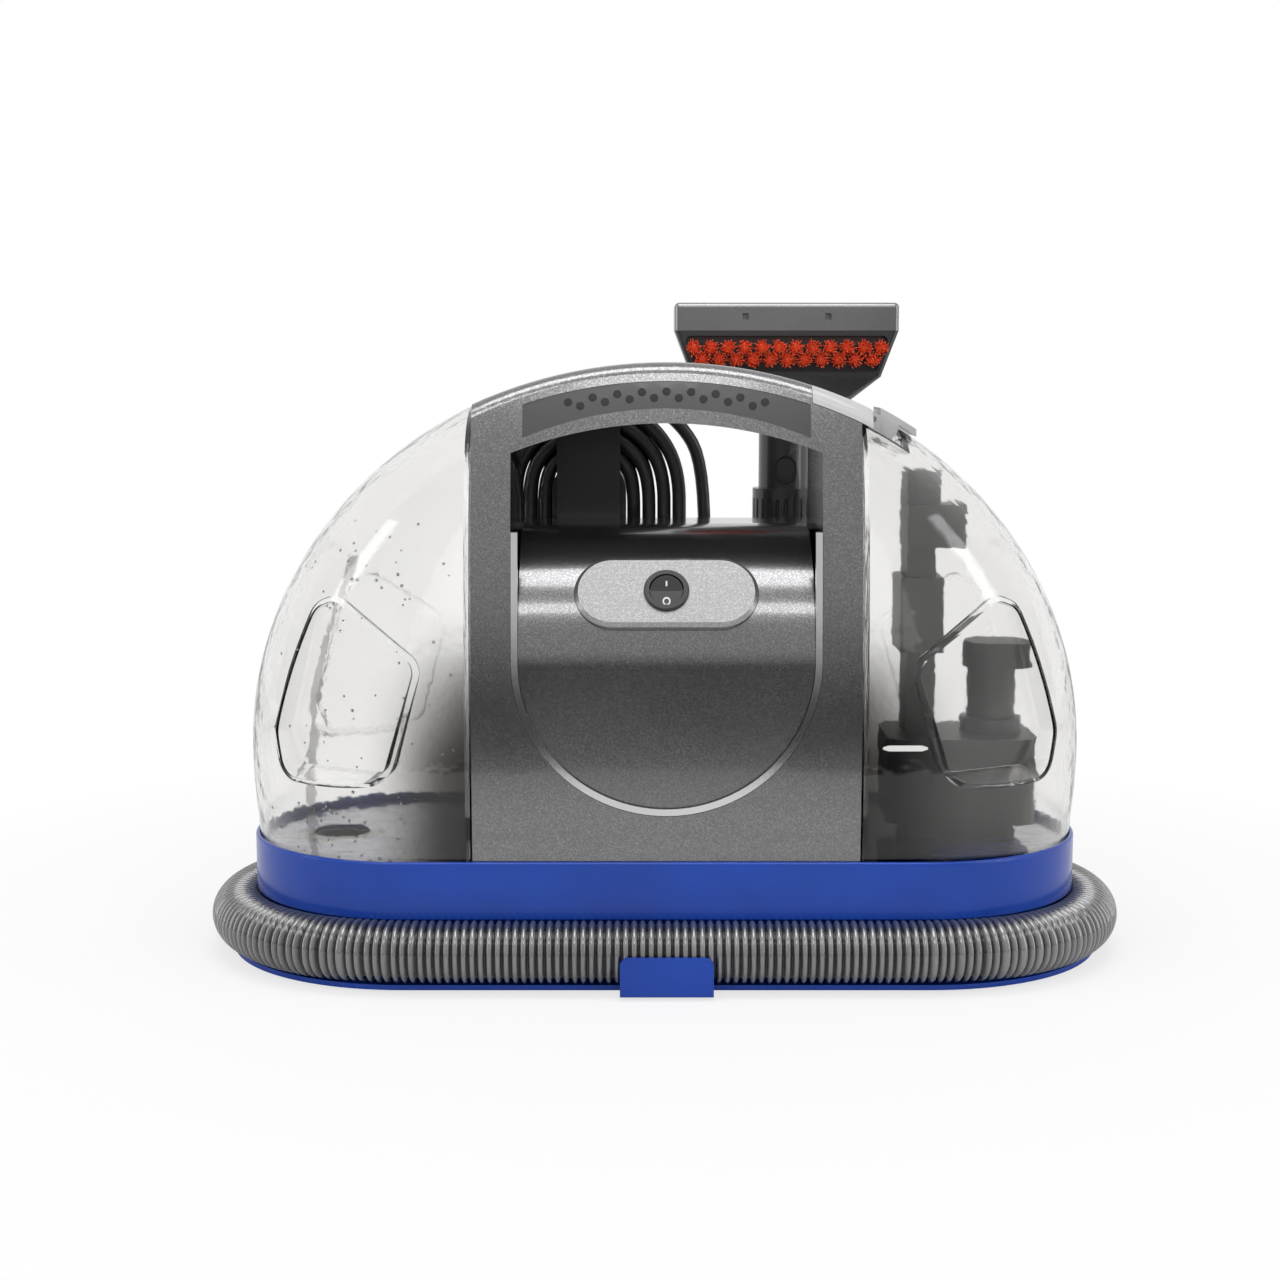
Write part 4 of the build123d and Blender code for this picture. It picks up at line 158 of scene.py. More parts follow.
# %% [markdown]
# ## Hose
# The suction hose is a thin ribbed tube that lies once round the base and climbs to the wand at the back.
# A bevelled curve can't carry ribs, so the hose is a mesh: rings of points stand along the route,
# and each rib is four rings wide, with a groove of two rings between ribs.
# Dust darkens the grooves and their shade is painted in, so every point also notes how deep it lies, for
# the finish to read.
# The route itself is a NURBS spline, read back as a line so that the rings follow its smooth bends.

# %% Lay the hose round the base
HOSE_R, GROOVE_R, BORE_R = 15.0 * MM, 13.2 * MM, 10.8 * MM
RIB_PITCH, RIB_ROUND = 4.05 * MM, 0.4 * MM
HOSE_SIDES = 36
LAY_Z, LAY_Y, STRAIGHT = 19.3, 93.0, 126.5
PORT_X, BACK_X, FRONT_X = 8.0, -60.0, 63.0
RISE_X, RISE_R, RISE_POINTS, HOSE_TOP_Z = 125.0, 58.0, 3, 110.0


def lying_turn(side):
    """Control points of the half turn round one end of the base, taken from the standing half turn."""
    turn = half_turn(LAY_Y, -LAY_Y, LAY_Z, 0.0, 1)
    return [(side * (STRAIGHT + out), -side * depth, height) for depth, height, out in turn]


lay = [(PORT_X, LAY_Y, LAY_Z), (BACK_X, LAY_Y, LAY_Z)]
lay += lying_turn(-1)
lay += [(x, -LAY_Y, LAY_Z) for x in (-FRONT_X, 0.0, FRONT_X)]
lay += lying_turn(1)
rise_step = pi / 2 / RISE_POINTS
spread = RISE_R / cos(rise_step / 2)
for i in range(RISE_POINTS):
    angle = (i + 0.5) * rise_step
    lay.append((RISE_X - spread * sin(angle), LAY_Y, LAY_Z + RISE_R - spread * cos(angle)))
lay.append((RISE_X - RISE_R, LAY_Y, HOSE_TOP_Z))
print("hose control points:", [(round(x), round(y), round(z)) for x, y, z in lay])
hose_route = spline_object("hose_route", [(x * MM, y * MM, z * MM) for x, y, z in lay], HOSE_R)


def line_of(curve_object):
    """The points along a spline, as Blender works them out for a curve with no bevel."""
    mesh = bpy.data.meshes.new_from_object(curve_object)
    points = [v.co.copy() for v in mesh.vertices]
    bpy.data.meshes.remove(mesh)
    return points


def evenly(points, gap):
    """The same line with points the same distance apart, about the gap, and that distance."""
    reach = [0.0]
    for a, b in zip(points, points[1:]):
        reach.append(reach[-1] + (b - a).length)
    count = round(reach[-1] / gap)
    spaced, k = [], 0
    for i in range(count + 1):
        at = reach[-1] * i / count
        while k < len(points) - 2 and reach[k + 1] < at:
            k += 1
        share = (at - reach[k]) / max(reach[k + 1] - reach[k], 1e-9)
        spaced.append(points[k].lerp(points[k + 1], min(max(share, 0.0), 1.0)))
    return spaced, reach[-1] / count


def tube_mesh(name, points, radii, sides):
    """A tube of rings along the points, with one radius for each ring."""
    verts, faces = [], []
    across = Vector((0.0, 0.0, 1.0))
    for i, point in enumerate(points):
        ahead = points[min(i + 1, len(points) - 1)] - points[max(i - 1, 0)]
        ahead.normalize()
        across = (across - ahead * across.dot(ahead)).normalized()
        other = ahead.cross(across)
        for j in range(sides):
            angle = 2 * pi * j / sides
            verts.append(point + (across * cos(angle) + other * sin(angle)) * radii[i])
    for i in range(len(points) - 1):
        for j in range(sides):
            k = (j + 1) % sides
            faces.append((i * sides + j, i * sides + k, (i + 1) * sides + k, (i + 1) * sides + j))
    mesh = bpy.data.meshes.new(name)
    mesh.from_pydata(verts, [], faces)
    mesh.polygons.foreach_set("use_smooth", [True] * len(faces))
    made = bpy.data.objects.new(name, mesh)
    scene.collection.objects.link(made)
    return made


rib_profile = [GROOVE_R, GROOVE_R, HOSE_R - RIB_ROUND, HOSE_R, HOSE_R, HOSE_R - RIB_ROUND]
rings, ring_gap = evenly(line_of(hose_route), RIB_PITCH / len(rib_profile))
ring_radii = [rib_profile[i % len(rib_profile)] for i in range(len(rings))]
rings = [rings[0], *rings, rings[-1]]
ring_radii = [BORE_R, *ring_radii, BORE_R]
hose = tube_mesh("ribbed_hose", rings, ring_radii, HOSE_SIDES)
depths = []
for radius in ring_radii:
    depths += [(HOSE_R - radius) / (HOSE_R - GROOVE_R)] * HOSE_SIDES
hose.data.attributes.new("groove", "FLOAT", "POINT").data.foreach_set("value", depths)
bpy.data.objects.remove(hose_route)
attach(hose, "machine")
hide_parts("hose")
rib_count = (len(rings) - 2) // len(rib_profile)
print("hose:", round(ring_gap * (len(rings) - 3), 3), "m long,", rib_count, "ribs")

# %% [markdown]
# ## Brush bristles
# The brush is two rows of nylon tufts set in a backing, and it faces the viewer when the tool is parked.
# Hair particles would be lost outside Blender, so each strand is a thin tapered blade of mesh.
# The strands of a tuft stand in a spiral and lean outwards a little, each with its own bend and length.
# Where they stand too close to tell apart, low in the middle of a tuft, one small dome stands for them.

# %% Plant the bristle tufts
random.seed(7)
TUFT_ROWS = ((12, 307.65), (11, 301.35))
TUFT_PITCH, TUFT_X, ROOT_Y, STRAND_L = 9.2, 67.0, 81.6, 13.4
STRANDS, TUFT_R, STRAND_R = 64, 2.4, 0.42
STRAND_SIDES, STRAND_LEVELS = 3, 4
GOLDEN_ANGLE, ANGLE_JITTER = 2.39996, 0.2
LEAN, OUTER_LEAN, LEAN_JITTER = 0.05, 0.14, 0.05
SHORTEST, OUTER_CUT, TAPER, BEND = 0.80, 0.10, 0.25, 1.5
CORE = ((0.0, 2.3), (4.0, 2.7), (7.0, 2.9), (8.6, 2.2), (9.2, 0.8))
CORE_SIDES = 12
tuft_verts, tuft_faces = [], []


def ring(centre, wide, sides, start=0.0):
    """Add a ring of points that faces the viewer, round a centre in mm."""
    for side in range(sides):
        turn = start + 2 * pi * side / sides
        tuft_verts.append((centre + Vector((cos(turn), 0.0, sin(turn))) * wide) * MM)


def close_rings(first, levels, sides):
    """Join the rings that start at the first point by walls, and close the last ring."""
    for level in range(levels - 1):
        base = first + level * sides
        for side in range(sides):
            a, b = base + side, base + (side + 1) % sides
            tuft_faces.append((a, b, b + sides, a + sides))
    tuft_faces.append(tuple(range(first + (levels - 1) * sides, first + levels * sides)))


for count, height in TUFT_ROWS:
    for n in range(count):
        root = Vector((TUFT_X + (n - (count - 1) / 2) * TUFT_PITCH, ROOT_Y, height))
        first = len(tuft_verts)
        for reach, wide in CORE:
            ring(root - Vector((0.0, reach, 0.0)), wide, CORE_SIDES)
        close_rings(first, len(CORE), CORE_SIDES)
        for s in range(STRANDS):
            out = TUFT_R * ((s + 0.5) / STRANDS) ** 0.5
            angle = s * GOLDEN_ANGLE + random.uniform(-ANGLE_JITTER, ANGLE_JITTER)
            lean = LEAN + OUTER_LEAN * out / TUFT_R + random.uniform(-LEAN_JITTER, LEAN_JITTER)
            length = STRAND_L * random.uniform(SHORTEST, 1.0) * (1.0 - OUTER_CUT * (out / TUFT_R) ** 2)
            first = len(tuft_verts)
            for level in range(STRAND_LEVELS):
                part = level / (STRAND_LEVELS - 1)
                away = out + lean * length * part ** BEND
                spot = root + Vector((away * cos(angle), -length * part, away * sin(angle)))
                ring(spot, STRAND_R * (1.0 - TAPER * part), STRAND_SIDES, angle)
            close_rings(first, STRAND_LEVELS, STRAND_SIDES)
tuft_mesh = bpy.data.meshes.new("bristle_tufts")
tuft_mesh.from_pydata(tuft_verts, [], tuft_faces)
tuft_mesh.polygons.foreach_set("use_smooth", [True] * len(tuft_faces))
tufts = bpy.data.objects.new("bristle_tufts", tuft_mesh)
scene.collection.objects.link(tufts)
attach(tufts, "brush_tool")
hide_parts("bristles")
print("bristles:", sum(count for count, height in TUFT_ROWS), "tufts,", len(tuft_faces), "faces")

# %% [markdown]
# ## A recipe for moulded plastic
# Moulded plastic is never one even colour: the tone drifts over a hand's width,
# the mould leaves a fine grain, and the gloss wanders where the piece has been handled.
# One recipe covers most pieces, with a slow noise for the tone, a fine noise for the grain,
# and numbers for how strong each is, so that a family of plastics stays alike.

# %% Mix the moulded plastics


def moulded(name, colour, rough, grain=0.0007, bump=0.06, drift=0.12, metal=0.0, coat=0.0):
    """A plastic whose tone, gloss and surface vary, with the grain size in metres."""
    finish = bpy.data.materials.new(name)
    finish.use_nodes = True
    tree, links = finish.node_tree.nodes, finish.node_tree.links
    shader = tree["Principled BSDF"]
    shader.inputs["Metallic"].default_value = metal
    shader.inputs["Coat Weight"].default_value = coat
    shader.inputs["Coat Roughness"].default_value = 0.06
    where = tree.new("ShaderNodeTexCoord")
    slow = tree.new("ShaderNodeTexNoise")
    slow.inputs["Scale"].default_value = 14.0
    slow.inputs["Detail"].default_value = 3.0
    fine = tree.new("ShaderNodeTexNoise")
    fine.inputs["Scale"].default_value = 1.0 / grain
    fine.inputs["Detail"].default_value = 2.0
    tone = tree.new("ShaderNodeValToRGB")
    tone.color_ramp.elements[0].position = 0.3
    tone.color_ramp.elements[1].position = 0.7
    tone.color_ramp.elements[0].color = (*[c * (1 - drift) for c in colour], 1.0)
    tone.color_ramp.elements[1].color = (*[min(1.0, c * (1 + drift)) for c in colour], 1.0)
    gloss = tree.new("ShaderNodeMapRange")
    gloss.inputs["To Min"].default_value = rough * 0.8
    gloss.inputs["To Max"].default_value = min(1.0, rough * 1.25)
    relief = tree.new("ShaderNodeBump")
    relief.inputs["Strength"].default_value = bump
    relief.inputs["Distance"].default_value = grain
    for texture in (slow, fine):
        links.new(where.outputs["Object"], texture.inputs["Vector"])
    links.new(slow.outputs["Fac"], tone.inputs["Fac"])
    links.new(slow.outputs["Fac"], gloss.inputs["Value"])
    links.new(fine.outputs["Fac"], relief.inputs["Height"])
    links.new(tone.outputs["Color"], shader.inputs["Base Color"])
    links.new(gloss.outputs["Result"], shader.inputs["Roughness"])
    links.new(relief.outputs["Normal"], shader.inputs["Normal"])
    return finish


gloss_blue = moulded("gloss_blue", (0.004, 0.046, 0.34), 0.18, bump=0.02, drift=0.15, coat=0.1)
gloss_blue.node_tree.nodes["Principled BSDF"].inputs["Specular IOR Level"].default_value = 0.3
satin_black = moulded("satin_black", (0.018, 0.018, 0.020), 0.38, bump=0.12, coat=0.2)
tool_black = moulded("tool_black", (0.026, 0.026, 0.028), 0.28, bump=0.05, coat=0.4)
inner_grey = moulded("inner_grey", (0.035, 0.033, 0.031), 0.45, bump=0.02)
lip_grey = moulded("lip_grey", (0.24, 0.24, 0.245), 0.24, bump=0.03, metal=0.8, coat=0.5)
grip_grey = moulded("grip_grey", (0.045, 0.045, 0.047), 0.26, grain=0.0005, bump=0.08, coat=0.4)
pale_grey = moulded("pale_grey", (0.48, 0.48, 0.485), 0.3, bump=0.04, drift=0.06, coat=0.3)
warm_white = moulded("warm_white", (0.72, 0.715, 0.70), 0.4, bump=0.05, drift=0.05)
soft_rubber = moulded("soft_rubber", (0.03, 0.03, 0.031), 0.62, grain=0.0005, bump=0.3)
cord_jacket = moulded("cord_jacket", (0.03, 0.03, 0.032), 0.34, grain=0.0009, bump=0.12, coat=0.2)
bristle_nylon = moulded("bristle_nylon", (1.0, 0.11, 0.03), 0.38, grain=0.0004, bump=0.05, drift=0.2)
print("materials so far, with those of the frame:", len(bpy.data.materials))

# %% [markdown]
# ## Grime and painted shade in the grooves
# The hose vinyl starts from the same recipe and then reads the depth that its points carry.
# A ramp turns that depth into grime and painted shade in the base colour, so the crests stay grey and
# glossy while the grooves go nearly black.

# %% Paint grime and shade into the grooves of the hose
hose_vinyl = moulded("hose_vinyl", (0.215, 0.215, 0.218), 0.22, bump=0.03, drift=0.14, metal=0.7, coat=0.6)
tree, links = hose_vinyl.node_tree.nodes, hose_vinyl.node_tree.links
depth_of = tree.new("ShaderNodeAttribute")
depth_of.attribute_name = "groove"
# Grime and painted shade: the deeper a point lies in a groove, the darker its base colour.
grime_and_shade = tree.new("ShaderNodeValToRGB")
grime_and_shade.color_ramp.elements[0].color = (1.0, 1.0, 1.0, 1.0)
grime_and_shade.color_ramp.elements[1].color = (0.06, 0.06, 0.06, 1.0)
shaded = tree.new("ShaderNodeMix")
shaded.data_type = "RGBA"
shaded.blend_type = "MULTIPLY"
shaded.inputs["Factor"].default_value = 1.0
links.new(depth_of.outputs["Fac"], grime_and_shade.inputs["Fac"])
links.new(tree["Color Ramp"].outputs["Color"], shaded.inputs["A"])
links.new(grime_and_shade.outputs["Color"], shaded.inputs["B"])
links.new(shaded.outputs["Result"], tree["Principled BSDF"].inputs["Base Color"])
print("hose vinyl reads the depth of", len(depths), "points")

# %% [markdown]
# ## Flake paint, polished trim and plated steel
# The tower is sprayed with a dark paint that holds metal flakes under a clear coat.
# A flake is a tiny mirror that lies at its own angle, so small Voronoi cells each get their own brightness,
# and the same cells tilt the surface a little, which makes the paint sparkle.
# The bright metals are smooth, with faint lines left by the polishing wheel.

# %% Mix the flake paint and the metals


def flaked(name, dark, bright, rough, metal, tilt, cell=0.0005):
    """Paint with metal flakes: every Voronoi cell has its own brightness and tilt."""
    finish = moulded(name, dark, rough, bump=0.0, metal=metal, coat=0.8)
    tree, links = finish.node_tree.nodes, finish.node_tree.links
    shader = tree["Principled BSDF"]
    where = tree["Texture Coordinate"]
    flakes = tree.new("ShaderNodeTexVoronoi")
    flakes.inputs["Scale"].default_value = 1.0 / cell
    links.new(where.outputs["Object"], flakes.inputs["Vector"])
    grey = tree.new("ShaderNodeRGBToBW")
    links.new(flakes.outputs["Color"], grey.inputs["Color"])
    pick = tree.new("ShaderNodeValToRGB")
    pick.color_ramp.elements[0].position = 0.45
    pick.color_ramp.elements[1].position = 0.85
    pick.color_ramp.elements[0].color = (*dark, 1.0)
    pick.color_ramp.elements[1].color = (*bright, 1.0)
    links.new(grey.outputs["Val"], pick.inputs["Fac"])
    links.new(pick.outputs["Color"], shader.inputs["Base Color"])
    relief = tree["Bump"]
    relief.inputs["Strength"].default_value = tilt
    relief.inputs["Distance"].default_value = cell
    links.new(grey.outputs["Val"], relief.inputs["Height"])
    return finish


def polished(name, colour, rough, lines, along):
    """Metal with fine wheel lines: a noise that is stretched along one axis."""
    finish = moulded(name, colour, rough, grain=1.0 / lines, bump=0.05, drift=0.06, metal=1.0)
    tree, links = finish.node_tree.nodes, finish.node_tree.links
    where = tree["Texture Coordinate"]
    stretch = tree.new("ShaderNodeMapping")
    stretch.inputs["Scale"].default_value = along
    links.new(where.outputs["Object"], stretch.inputs["Vector"])
    links.new(stretch.outputs["Vector"], tree["Noise Texture.001"].inputs["Vector"])
    return finish


graphite = flaked("graphite_flake", (0.15, 0.15, 0.153), (0.25, 0.25, 0.255), 0.22, 0.9, tilt=0.012)
plate_flake = flaked("plate_flake", (0.27, 0.27, 0.273), (0.40, 0.40, 0.405), 0.34, 0.75, tilt=0.02)
bright_trim = polished("bright_trim", (0.62, 0.62, 0.63), 0.14, 1600.0, (1.0, 1.0, 0.15))
plated_steel = polished("plated_steel", (0.50, 0.50, 0.51), 0.26, 1800.0, (0.2, 1.0, 1.0))
print("paints and metals:", graphite.name, plate_flake.name, bright_trim.name, plated_steel.name)

# %% [markdown]
# ## Smoky clear tanks
# The tanks are blown from a clear plastic with a slight smoky tint, about 2.4 mm thick.
# Because the CAD walls have that thickness, the shader can bend the light as the real wall does.
# A little roughness from a slow noise gives the haze of used plastic.
# Low down beside the tower a dark wall shows through the real tanks, and these solids have only part of it.
# A painted shade, a darker base colour, stands in for it there, as two soft ramps: towards the tower and
# towards the floor.

# %% Mix the clear plastic
smoky_clear = moulded("smoky_clear", (0.925, 0.92, 0.91), 0.06, grain=0.012, bump=0.02, drift=0.02)
clear_shader = smoky_clear.node_tree.nodes["Principled BSDF"]
clear_shader.inputs["Transmission Weight"].default_value = 1.0
clear_shader.inputs["IOR"].default_value = 1.46
tree, links = smoky_clear.node_tree.nodes, smoky_clear.node_tree.links
position = tree.new("ShaderNodeSeparateXYZ")
links.new(tree["Texture Coordinate"].outputs["Object"], position.inputs["Vector"])
out_from_middle = tree.new("ShaderNodeMath")
out_from_middle.operation = "ABSOLUTE"
links.new(position.outputs["X"], out_from_middle.inputs[0])


def soft_ramp(value, start, end):
    """A smooth ramp that goes from 0 at the start to 1 at the end of a range of positions."""
    ramp = tree.new("ShaderNodeMapRange")
    ramp.interpolation_type = "SMOOTHSTEP"
    ramp.inputs["From Min"].default_value = start
    ramp.inputs["From Max"].default_value = end
    links.new(value, ramp.inputs["Value"])
    return ramp.outputs["Result"]


# Painted shade: the base colour darkens towards the tower and towards the floor, for the dark wall seen
# through.
SHADE_OUT, SHADE_IN = 0.150, 0.104
SHADE_TOP, SHADE_LOW = 0.168, 0.104
painted_shade_mask = tree.new("ShaderNodeMath")
painted_shade_mask.operation = "MULTIPLY"
links.new(soft_ramp(out_from_middle.outputs["Value"], SHADE_OUT, SHADE_IN), painted_shade_mask.inputs[0])
links.new(soft_ramp(position.outputs["Z"], SHADE_TOP, SHADE_LOW), painted_shade_mask.inputs[1])
painted_shade_mix = tree.new("ShaderNodeMix")
painted_shade_mix.data_type = "RGBA"
painted_shade_mix.inputs["B"].default_value = (0.14, 0.135, 0.13, 1.0)
links.new(painted_shade_mask.outputs["Value"], painted_shade_mix.inputs["Factor"])
links.new(tree["Color Ramp"].outputs["Color"], painted_shade_mix.inputs["A"])
links.new(painted_shade_mix.outputs["Result"], clear_shader.inputs["Base Color"])
print("clear plastic lets through", clear_shader.inputs["Transmission Weight"].default_value)

# %% [markdown]
# ## Who wears what
# Each CAD solid keeps its shape and takes a finish in its material slot.
# A table of finish and solids is easier to read, and to change, than one line for every solid.

# %% Give every solid its finish
wardrobe = {
    gloss_blue: "base_shell hose_clip",
    graphite: "tower_front tower_rear fascia rear_housing",
    bright_trim: "fascia_trim",
    plate_flake: "switch_plate",
    soft_rubber: "feet cap_gasket port_seals",
    grip_grey: "handle_grip",
    satin_black: "switch_bezel switch_rocker base_plate hose_port cord_post cord_hook strain_relief plug "
                 "wand_holder valve_well trigger fan_housing brush_backing",
    tool_black: "tool_body wand_cuff wand_grip latch_button",
    inner_grey: "separator_base air_stack float_sleeve inlet_pipe clean_cap clean_valve",
    lip_grey: "nozzle_lip",
    pale_grey: "crown_cover pour_lid",
    smoky_clear: "clean_tank dirty_tank",
    warm_white: "impeller pump_body pump_plunger water_tube",
    plated_steel: "base_screws rear_screws lid_pin trigger_pin plug_blades motor_can motor_stator "
                  "motor_bearings motor_rotor",
}
dressed = set()
for finish, names in wardrobe.items():
    for name in names.split():
        worn = nodes[name].data.materials
        for i in range(max(1, len(worn))):
            if i < len(worn):
                worn[i] = finish
            else:
                worn.append(finish)
        dressed.add(name)
for piece, finish in ((cord, cord_jacket), (hose, hose_vinyl), (tufts, bristle_nylon)):
    piece.data.materials.append(finish)
print("dressed", len(dressed), "solids; left for the soft pieces:", sorted(set(nodes) - dressed))

# %% [markdown]
# ## Switch marks
# The rocker carries the two marks that switches have the world over, a line for on and a ring for off.
# They are printed, so they are thin plates that a ray sets on the rocker's own face,
# and they ride with the rocker when it tips.

# %% Print the switch marks


def on_face(node, x, z, lift, look=1.0):
    """The point lifted off a solid's face at x and z, and its normal. A look of -1 is from behind."""
    hit, spot, normal, face = nodes[node].ray_cast(Vector((x, -0.5 * look, z)), Vector((0.0, look, 0.0)))
    if not hit:
        raise RuntimeError(f"no face of {node} at {x:.4f}, {z:.4f}")
    return spot + normal * lift, normal


def printed_strip(name, node, outline_pairs, lift=0.00012, thick=0.00025, look=1.0):
    """A thin closed plate on a solid's face, from pairs of (x, z) points along its two edges."""
    verts, faces = [], []
    for (xa, za), (xb, zb) in outline_pairs:
        for x, z in ((xa, za), (xb, zb)):
            top, normal = on_face(node, x, z, lift, look)
            verts += [top, top - normal * thick]
    for i in range(len(outline_pairs) - 1):
        a, b = i * 4, (i + 1) * 4
        faces += [(a, a + 2, b + 2, b), (a + 1, b + 1, b + 3, a + 3)]
        faces += [(a, b, b + 1, a + 1), (a + 2, a + 3, b + 3, b + 2)]
    if outline_pairs[0] != outline_pairs[-1]:
        last = (len(outline_pairs) - 1) * 4
        faces += [(0, 1, 3, 2), (last, last + 2, last + 3, last + 1)]
    mesh = bpy.data.meshes.new(name)
    mesh.from_pydata(verts, [], faces)
    mesh.validate()
    made = bpy.data.objects.new(name, mesh)
    scene.collection.objects.link(made)
    return made


LINE_HALF, LINE_HEIGHTS = 0.0004, (0.0029, 0.0041, 0.0053)
RING_INNER, RING_OUTER, RING_DROP, RING_STEPS = 0.0012, 0.0019, 0.0040, 32
rocker_low, rocker_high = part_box("switch_rocker")
rocker_z = (rocker_low.z + rocker_high.z) / 2
line_pairs = [((-LINE_HALF, rocker_z + z), (LINE_HALF, rocker_z + z)) for z in LINE_HEIGHTS]
ring_pairs = []
for i in range(RING_STEPS + 1):
    angle = 2 * pi * (i % RING_STEPS) / RING_STEPS
    ring_pairs.append(tuple(
        (r * cos(angle), rocker_z - RING_DROP + r * sin(angle)) for r in (RING_INNER, RING_OUTER)
    ))
on_mark = printed_strip("mark_on", "switch_rocker", line_pairs)
off_mark = printed_strip("mark_off", "switch_rocker", ring_pairs)
for mark in (on_mark, off_mark):
    mark.data.materials.append(warm_white)
    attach(mark, "rocker")
print("switch marks at height", round(rocker_z, 4))

# %% [markdown]
# ## Level bar
# A white bar on the dirty tank shows how high the water may come.
# It is printed on the curved wall, so a row of rays finds the wall and the bar follows it.

# %% Print the level bar
BAR_X, BAR_LENGTH, BAR_Z, BAR_HALF = 0.1035, 0.0215, 0.1168, 0.0014
BAR_STEPS, TIP_STEPS, TIP_SHARE = 16, 2, 0.35
level_pairs = []
for i in range(BAR_STEPS + 1):
    x = BAR_X + BAR_LENGTH * i / BAR_STEPS
    from_tip = min(i, BAR_STEPS - i, TIP_STEPS)
    half = BAR_HALF * (TIP_SHARE + (1 - TIP_SHARE) * from_tip / TIP_STEPS)
    level_pairs.append(((x, BAR_Z - half), (x, BAR_Z + half)))
level_bar = printed_strip("level_bar", "dirty_tank", level_pairs)
level_bar.data.materials.append(warm_white)
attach(level_bar, "dirty_tank_body")
print("level bar:", len(level_pairs), "stations")

# %% [markdown]
# ## Weld seam and moisture
# The clean tank is welded from two blown halves, and the seam down its far wall shows through the near one.
# Small beads of water cling to the wall after a rinse, most of them low down.
# A bead is a little dome that a ray sets on the wall. All of them are one mesh that rides with the tank.

# %% Add the seam
SEAM_STEPS, SEAM_LOW, SEAM_HEIGHT, SEAM_HALF = 120, 0.056, 0.142, 0.0017
SEAM_X, SEAM_CURVE, SEAM_FOOT = -0.1932, 1.15, 0.0485
seam_pairs = []
for i in range(SEAM_STEPS + 1):
    z = SEAM_LOW + SEAM_HEIGHT * i / SEAM_STEPS
    x = SEAM_X + SEAM_CURVE * (z - SEAM_FOOT) ** 2
    seam_pairs.append(((x + SEAM_HALF, z), (x - SEAM_HALF, z)))
seam = printed_strip("weld_seam", "clean_tank", seam_pairs, lift=0.0005, thick=0.0007, look=-1.0)
seam_clear = moulded("seam_clear", (0.66, 0.65, 0.64), 0.25, grain=0.004, bump=0.05)
seam_clear.node_tree.nodes["Principled BSDF"].inputs["Transmission Weight"].default_value = 0.9
print("seam:", len(seam_pairs), "stations")

# %% Add the beads
BEADS, BEAD_SIDES = 150, 8
BEAD_LEFT, BEAD_RIGHT, BEAD_LOW, BEAD_RANGE, LOW_SHARE = -0.196, -0.102, 0.056, 0.17, 1.8
BEAD_SMALL, BEAD_LARGE, DOME_TOP = 0.0004, 0.0009, 0.6
DOME = ((1.0, -0.1), (0.72, 0.42))
FACING = -0.3
bead_verts, bead_faces = [], []
beads_set = 0
while beads_set < BEADS:
    x = random.uniform(BEAD_LEFT, BEAD_RIGHT)
    z = BEAD_LOW + BEAD_RANGE * random.random() ** LOW_SHARE
    size = random.uniform(BEAD_SMALL, BEAD_LARGE)
    start, ahead = Vector((x, -0.5, z)), Vector((0.0, 1.0, 0.0))
    hit, spot, normal, face = nodes["clean_tank"].ray_cast(start, ahead)
    if not hit or normal.y > FACING or spot.y > 0.0:
        continue
    first, upper = len(bead_verts), len(bead_verts) + BEAD_SIDES
    along = normal.orthogonal().normalized()
    other = normal.cross(along)
    for wide, lift in DOME:
        for j in range(BEAD_SIDES):
            angle = 2 * pi * j / BEAD_SIDES
            outward = (along * cos(angle) + other * sin(angle)) * wide
            bead_verts.append(spot + (outward + normal * lift) * size)
    bead_verts.append(spot + normal * DOME_TOP * size)
    for j in range(BEAD_SIDES):
        k = (j + 1) % BEAD_SIDES
        bead_faces.append((first + j, first + k, upper + k, upper + j))
        bead_faces.append((upper + j, upper + k, upper + BEAD_SIDES))
    bead_faces.append(tuple(range(upper - 1, first - 1, -1)))
    beads_set += 1
bead_mesh = bpy.data.meshes.new("moisture_beads")
bead_mesh.from_pydata(bead_verts, [], bead_faces)
bead_mesh.polygons.foreach_set("use_smooth", [True] * len(bead_faces))
beads = bpy.data.objects.new("moisture_beads", bead_mesh)
scene.collection.objects.link(beads)
bead_clear = moulded("bead_clear", (0.90, 0.90, 0.90), 0.04, grain=0.002, bump=0.02)
bead_clear.node_tree.nodes["Principled BSDF"].inputs["Transmission Weight"].default_value = 1.0
for piece, finish in ((seam, seam_clear), (beads, bead_clear)):
    piece.data.materials.append(finish)
    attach(piece, "clean_tank_body")
print("beads:", beads_set, "with", len(bead_faces), "faces")

# %% [markdown]
# ## Floor
# The machine stands on a plain white floor that has to melt into a white background.
# Lit paint alone would end in a grey edge, so the floor is part paint and part plain white:
# near the machine the paint still shows a soft shadow, and further out the white takes over.
# Only what the camera sees, straight or through the tanks, gets the white part.

# %% Stand it on a floor
SHADOW_NEAR, SHADOW_FAR, NEAR_WHITE = 0.25, 0.55, 0.72
floor_mesh = bpy.data.meshes.new("pale_floor")
floor_mesh.from_pydata(
    [(-2.5, -0.62, 0.0), (2.5, -0.62, 0.0), (2.5, 2.5, 0.0), (-2.5, 2.5, 0.0)], [], [(0, 1, 2, 3)]
)
floor = bpy.data.objects.new("pale_floor", floor_mesh)
scene.collection.objects.link(floor)
floor_finish = bpy.data.materials.new("pale_floor")
floor_finish.use_nodes = True
tree, links = floor_finish.node_tree.nodes, floor_finish.node_tree.links
matt = tree["Principled BSDF"]
matt.inputs["Base Color"].default_value = (0.86, 0.86, 0.86, 1.0)
matt.inputs["Roughness"].default_value = 0.9
white = tree.new("ShaderNodeEmission")
white.inputs["Strength"].default_value = 1.0
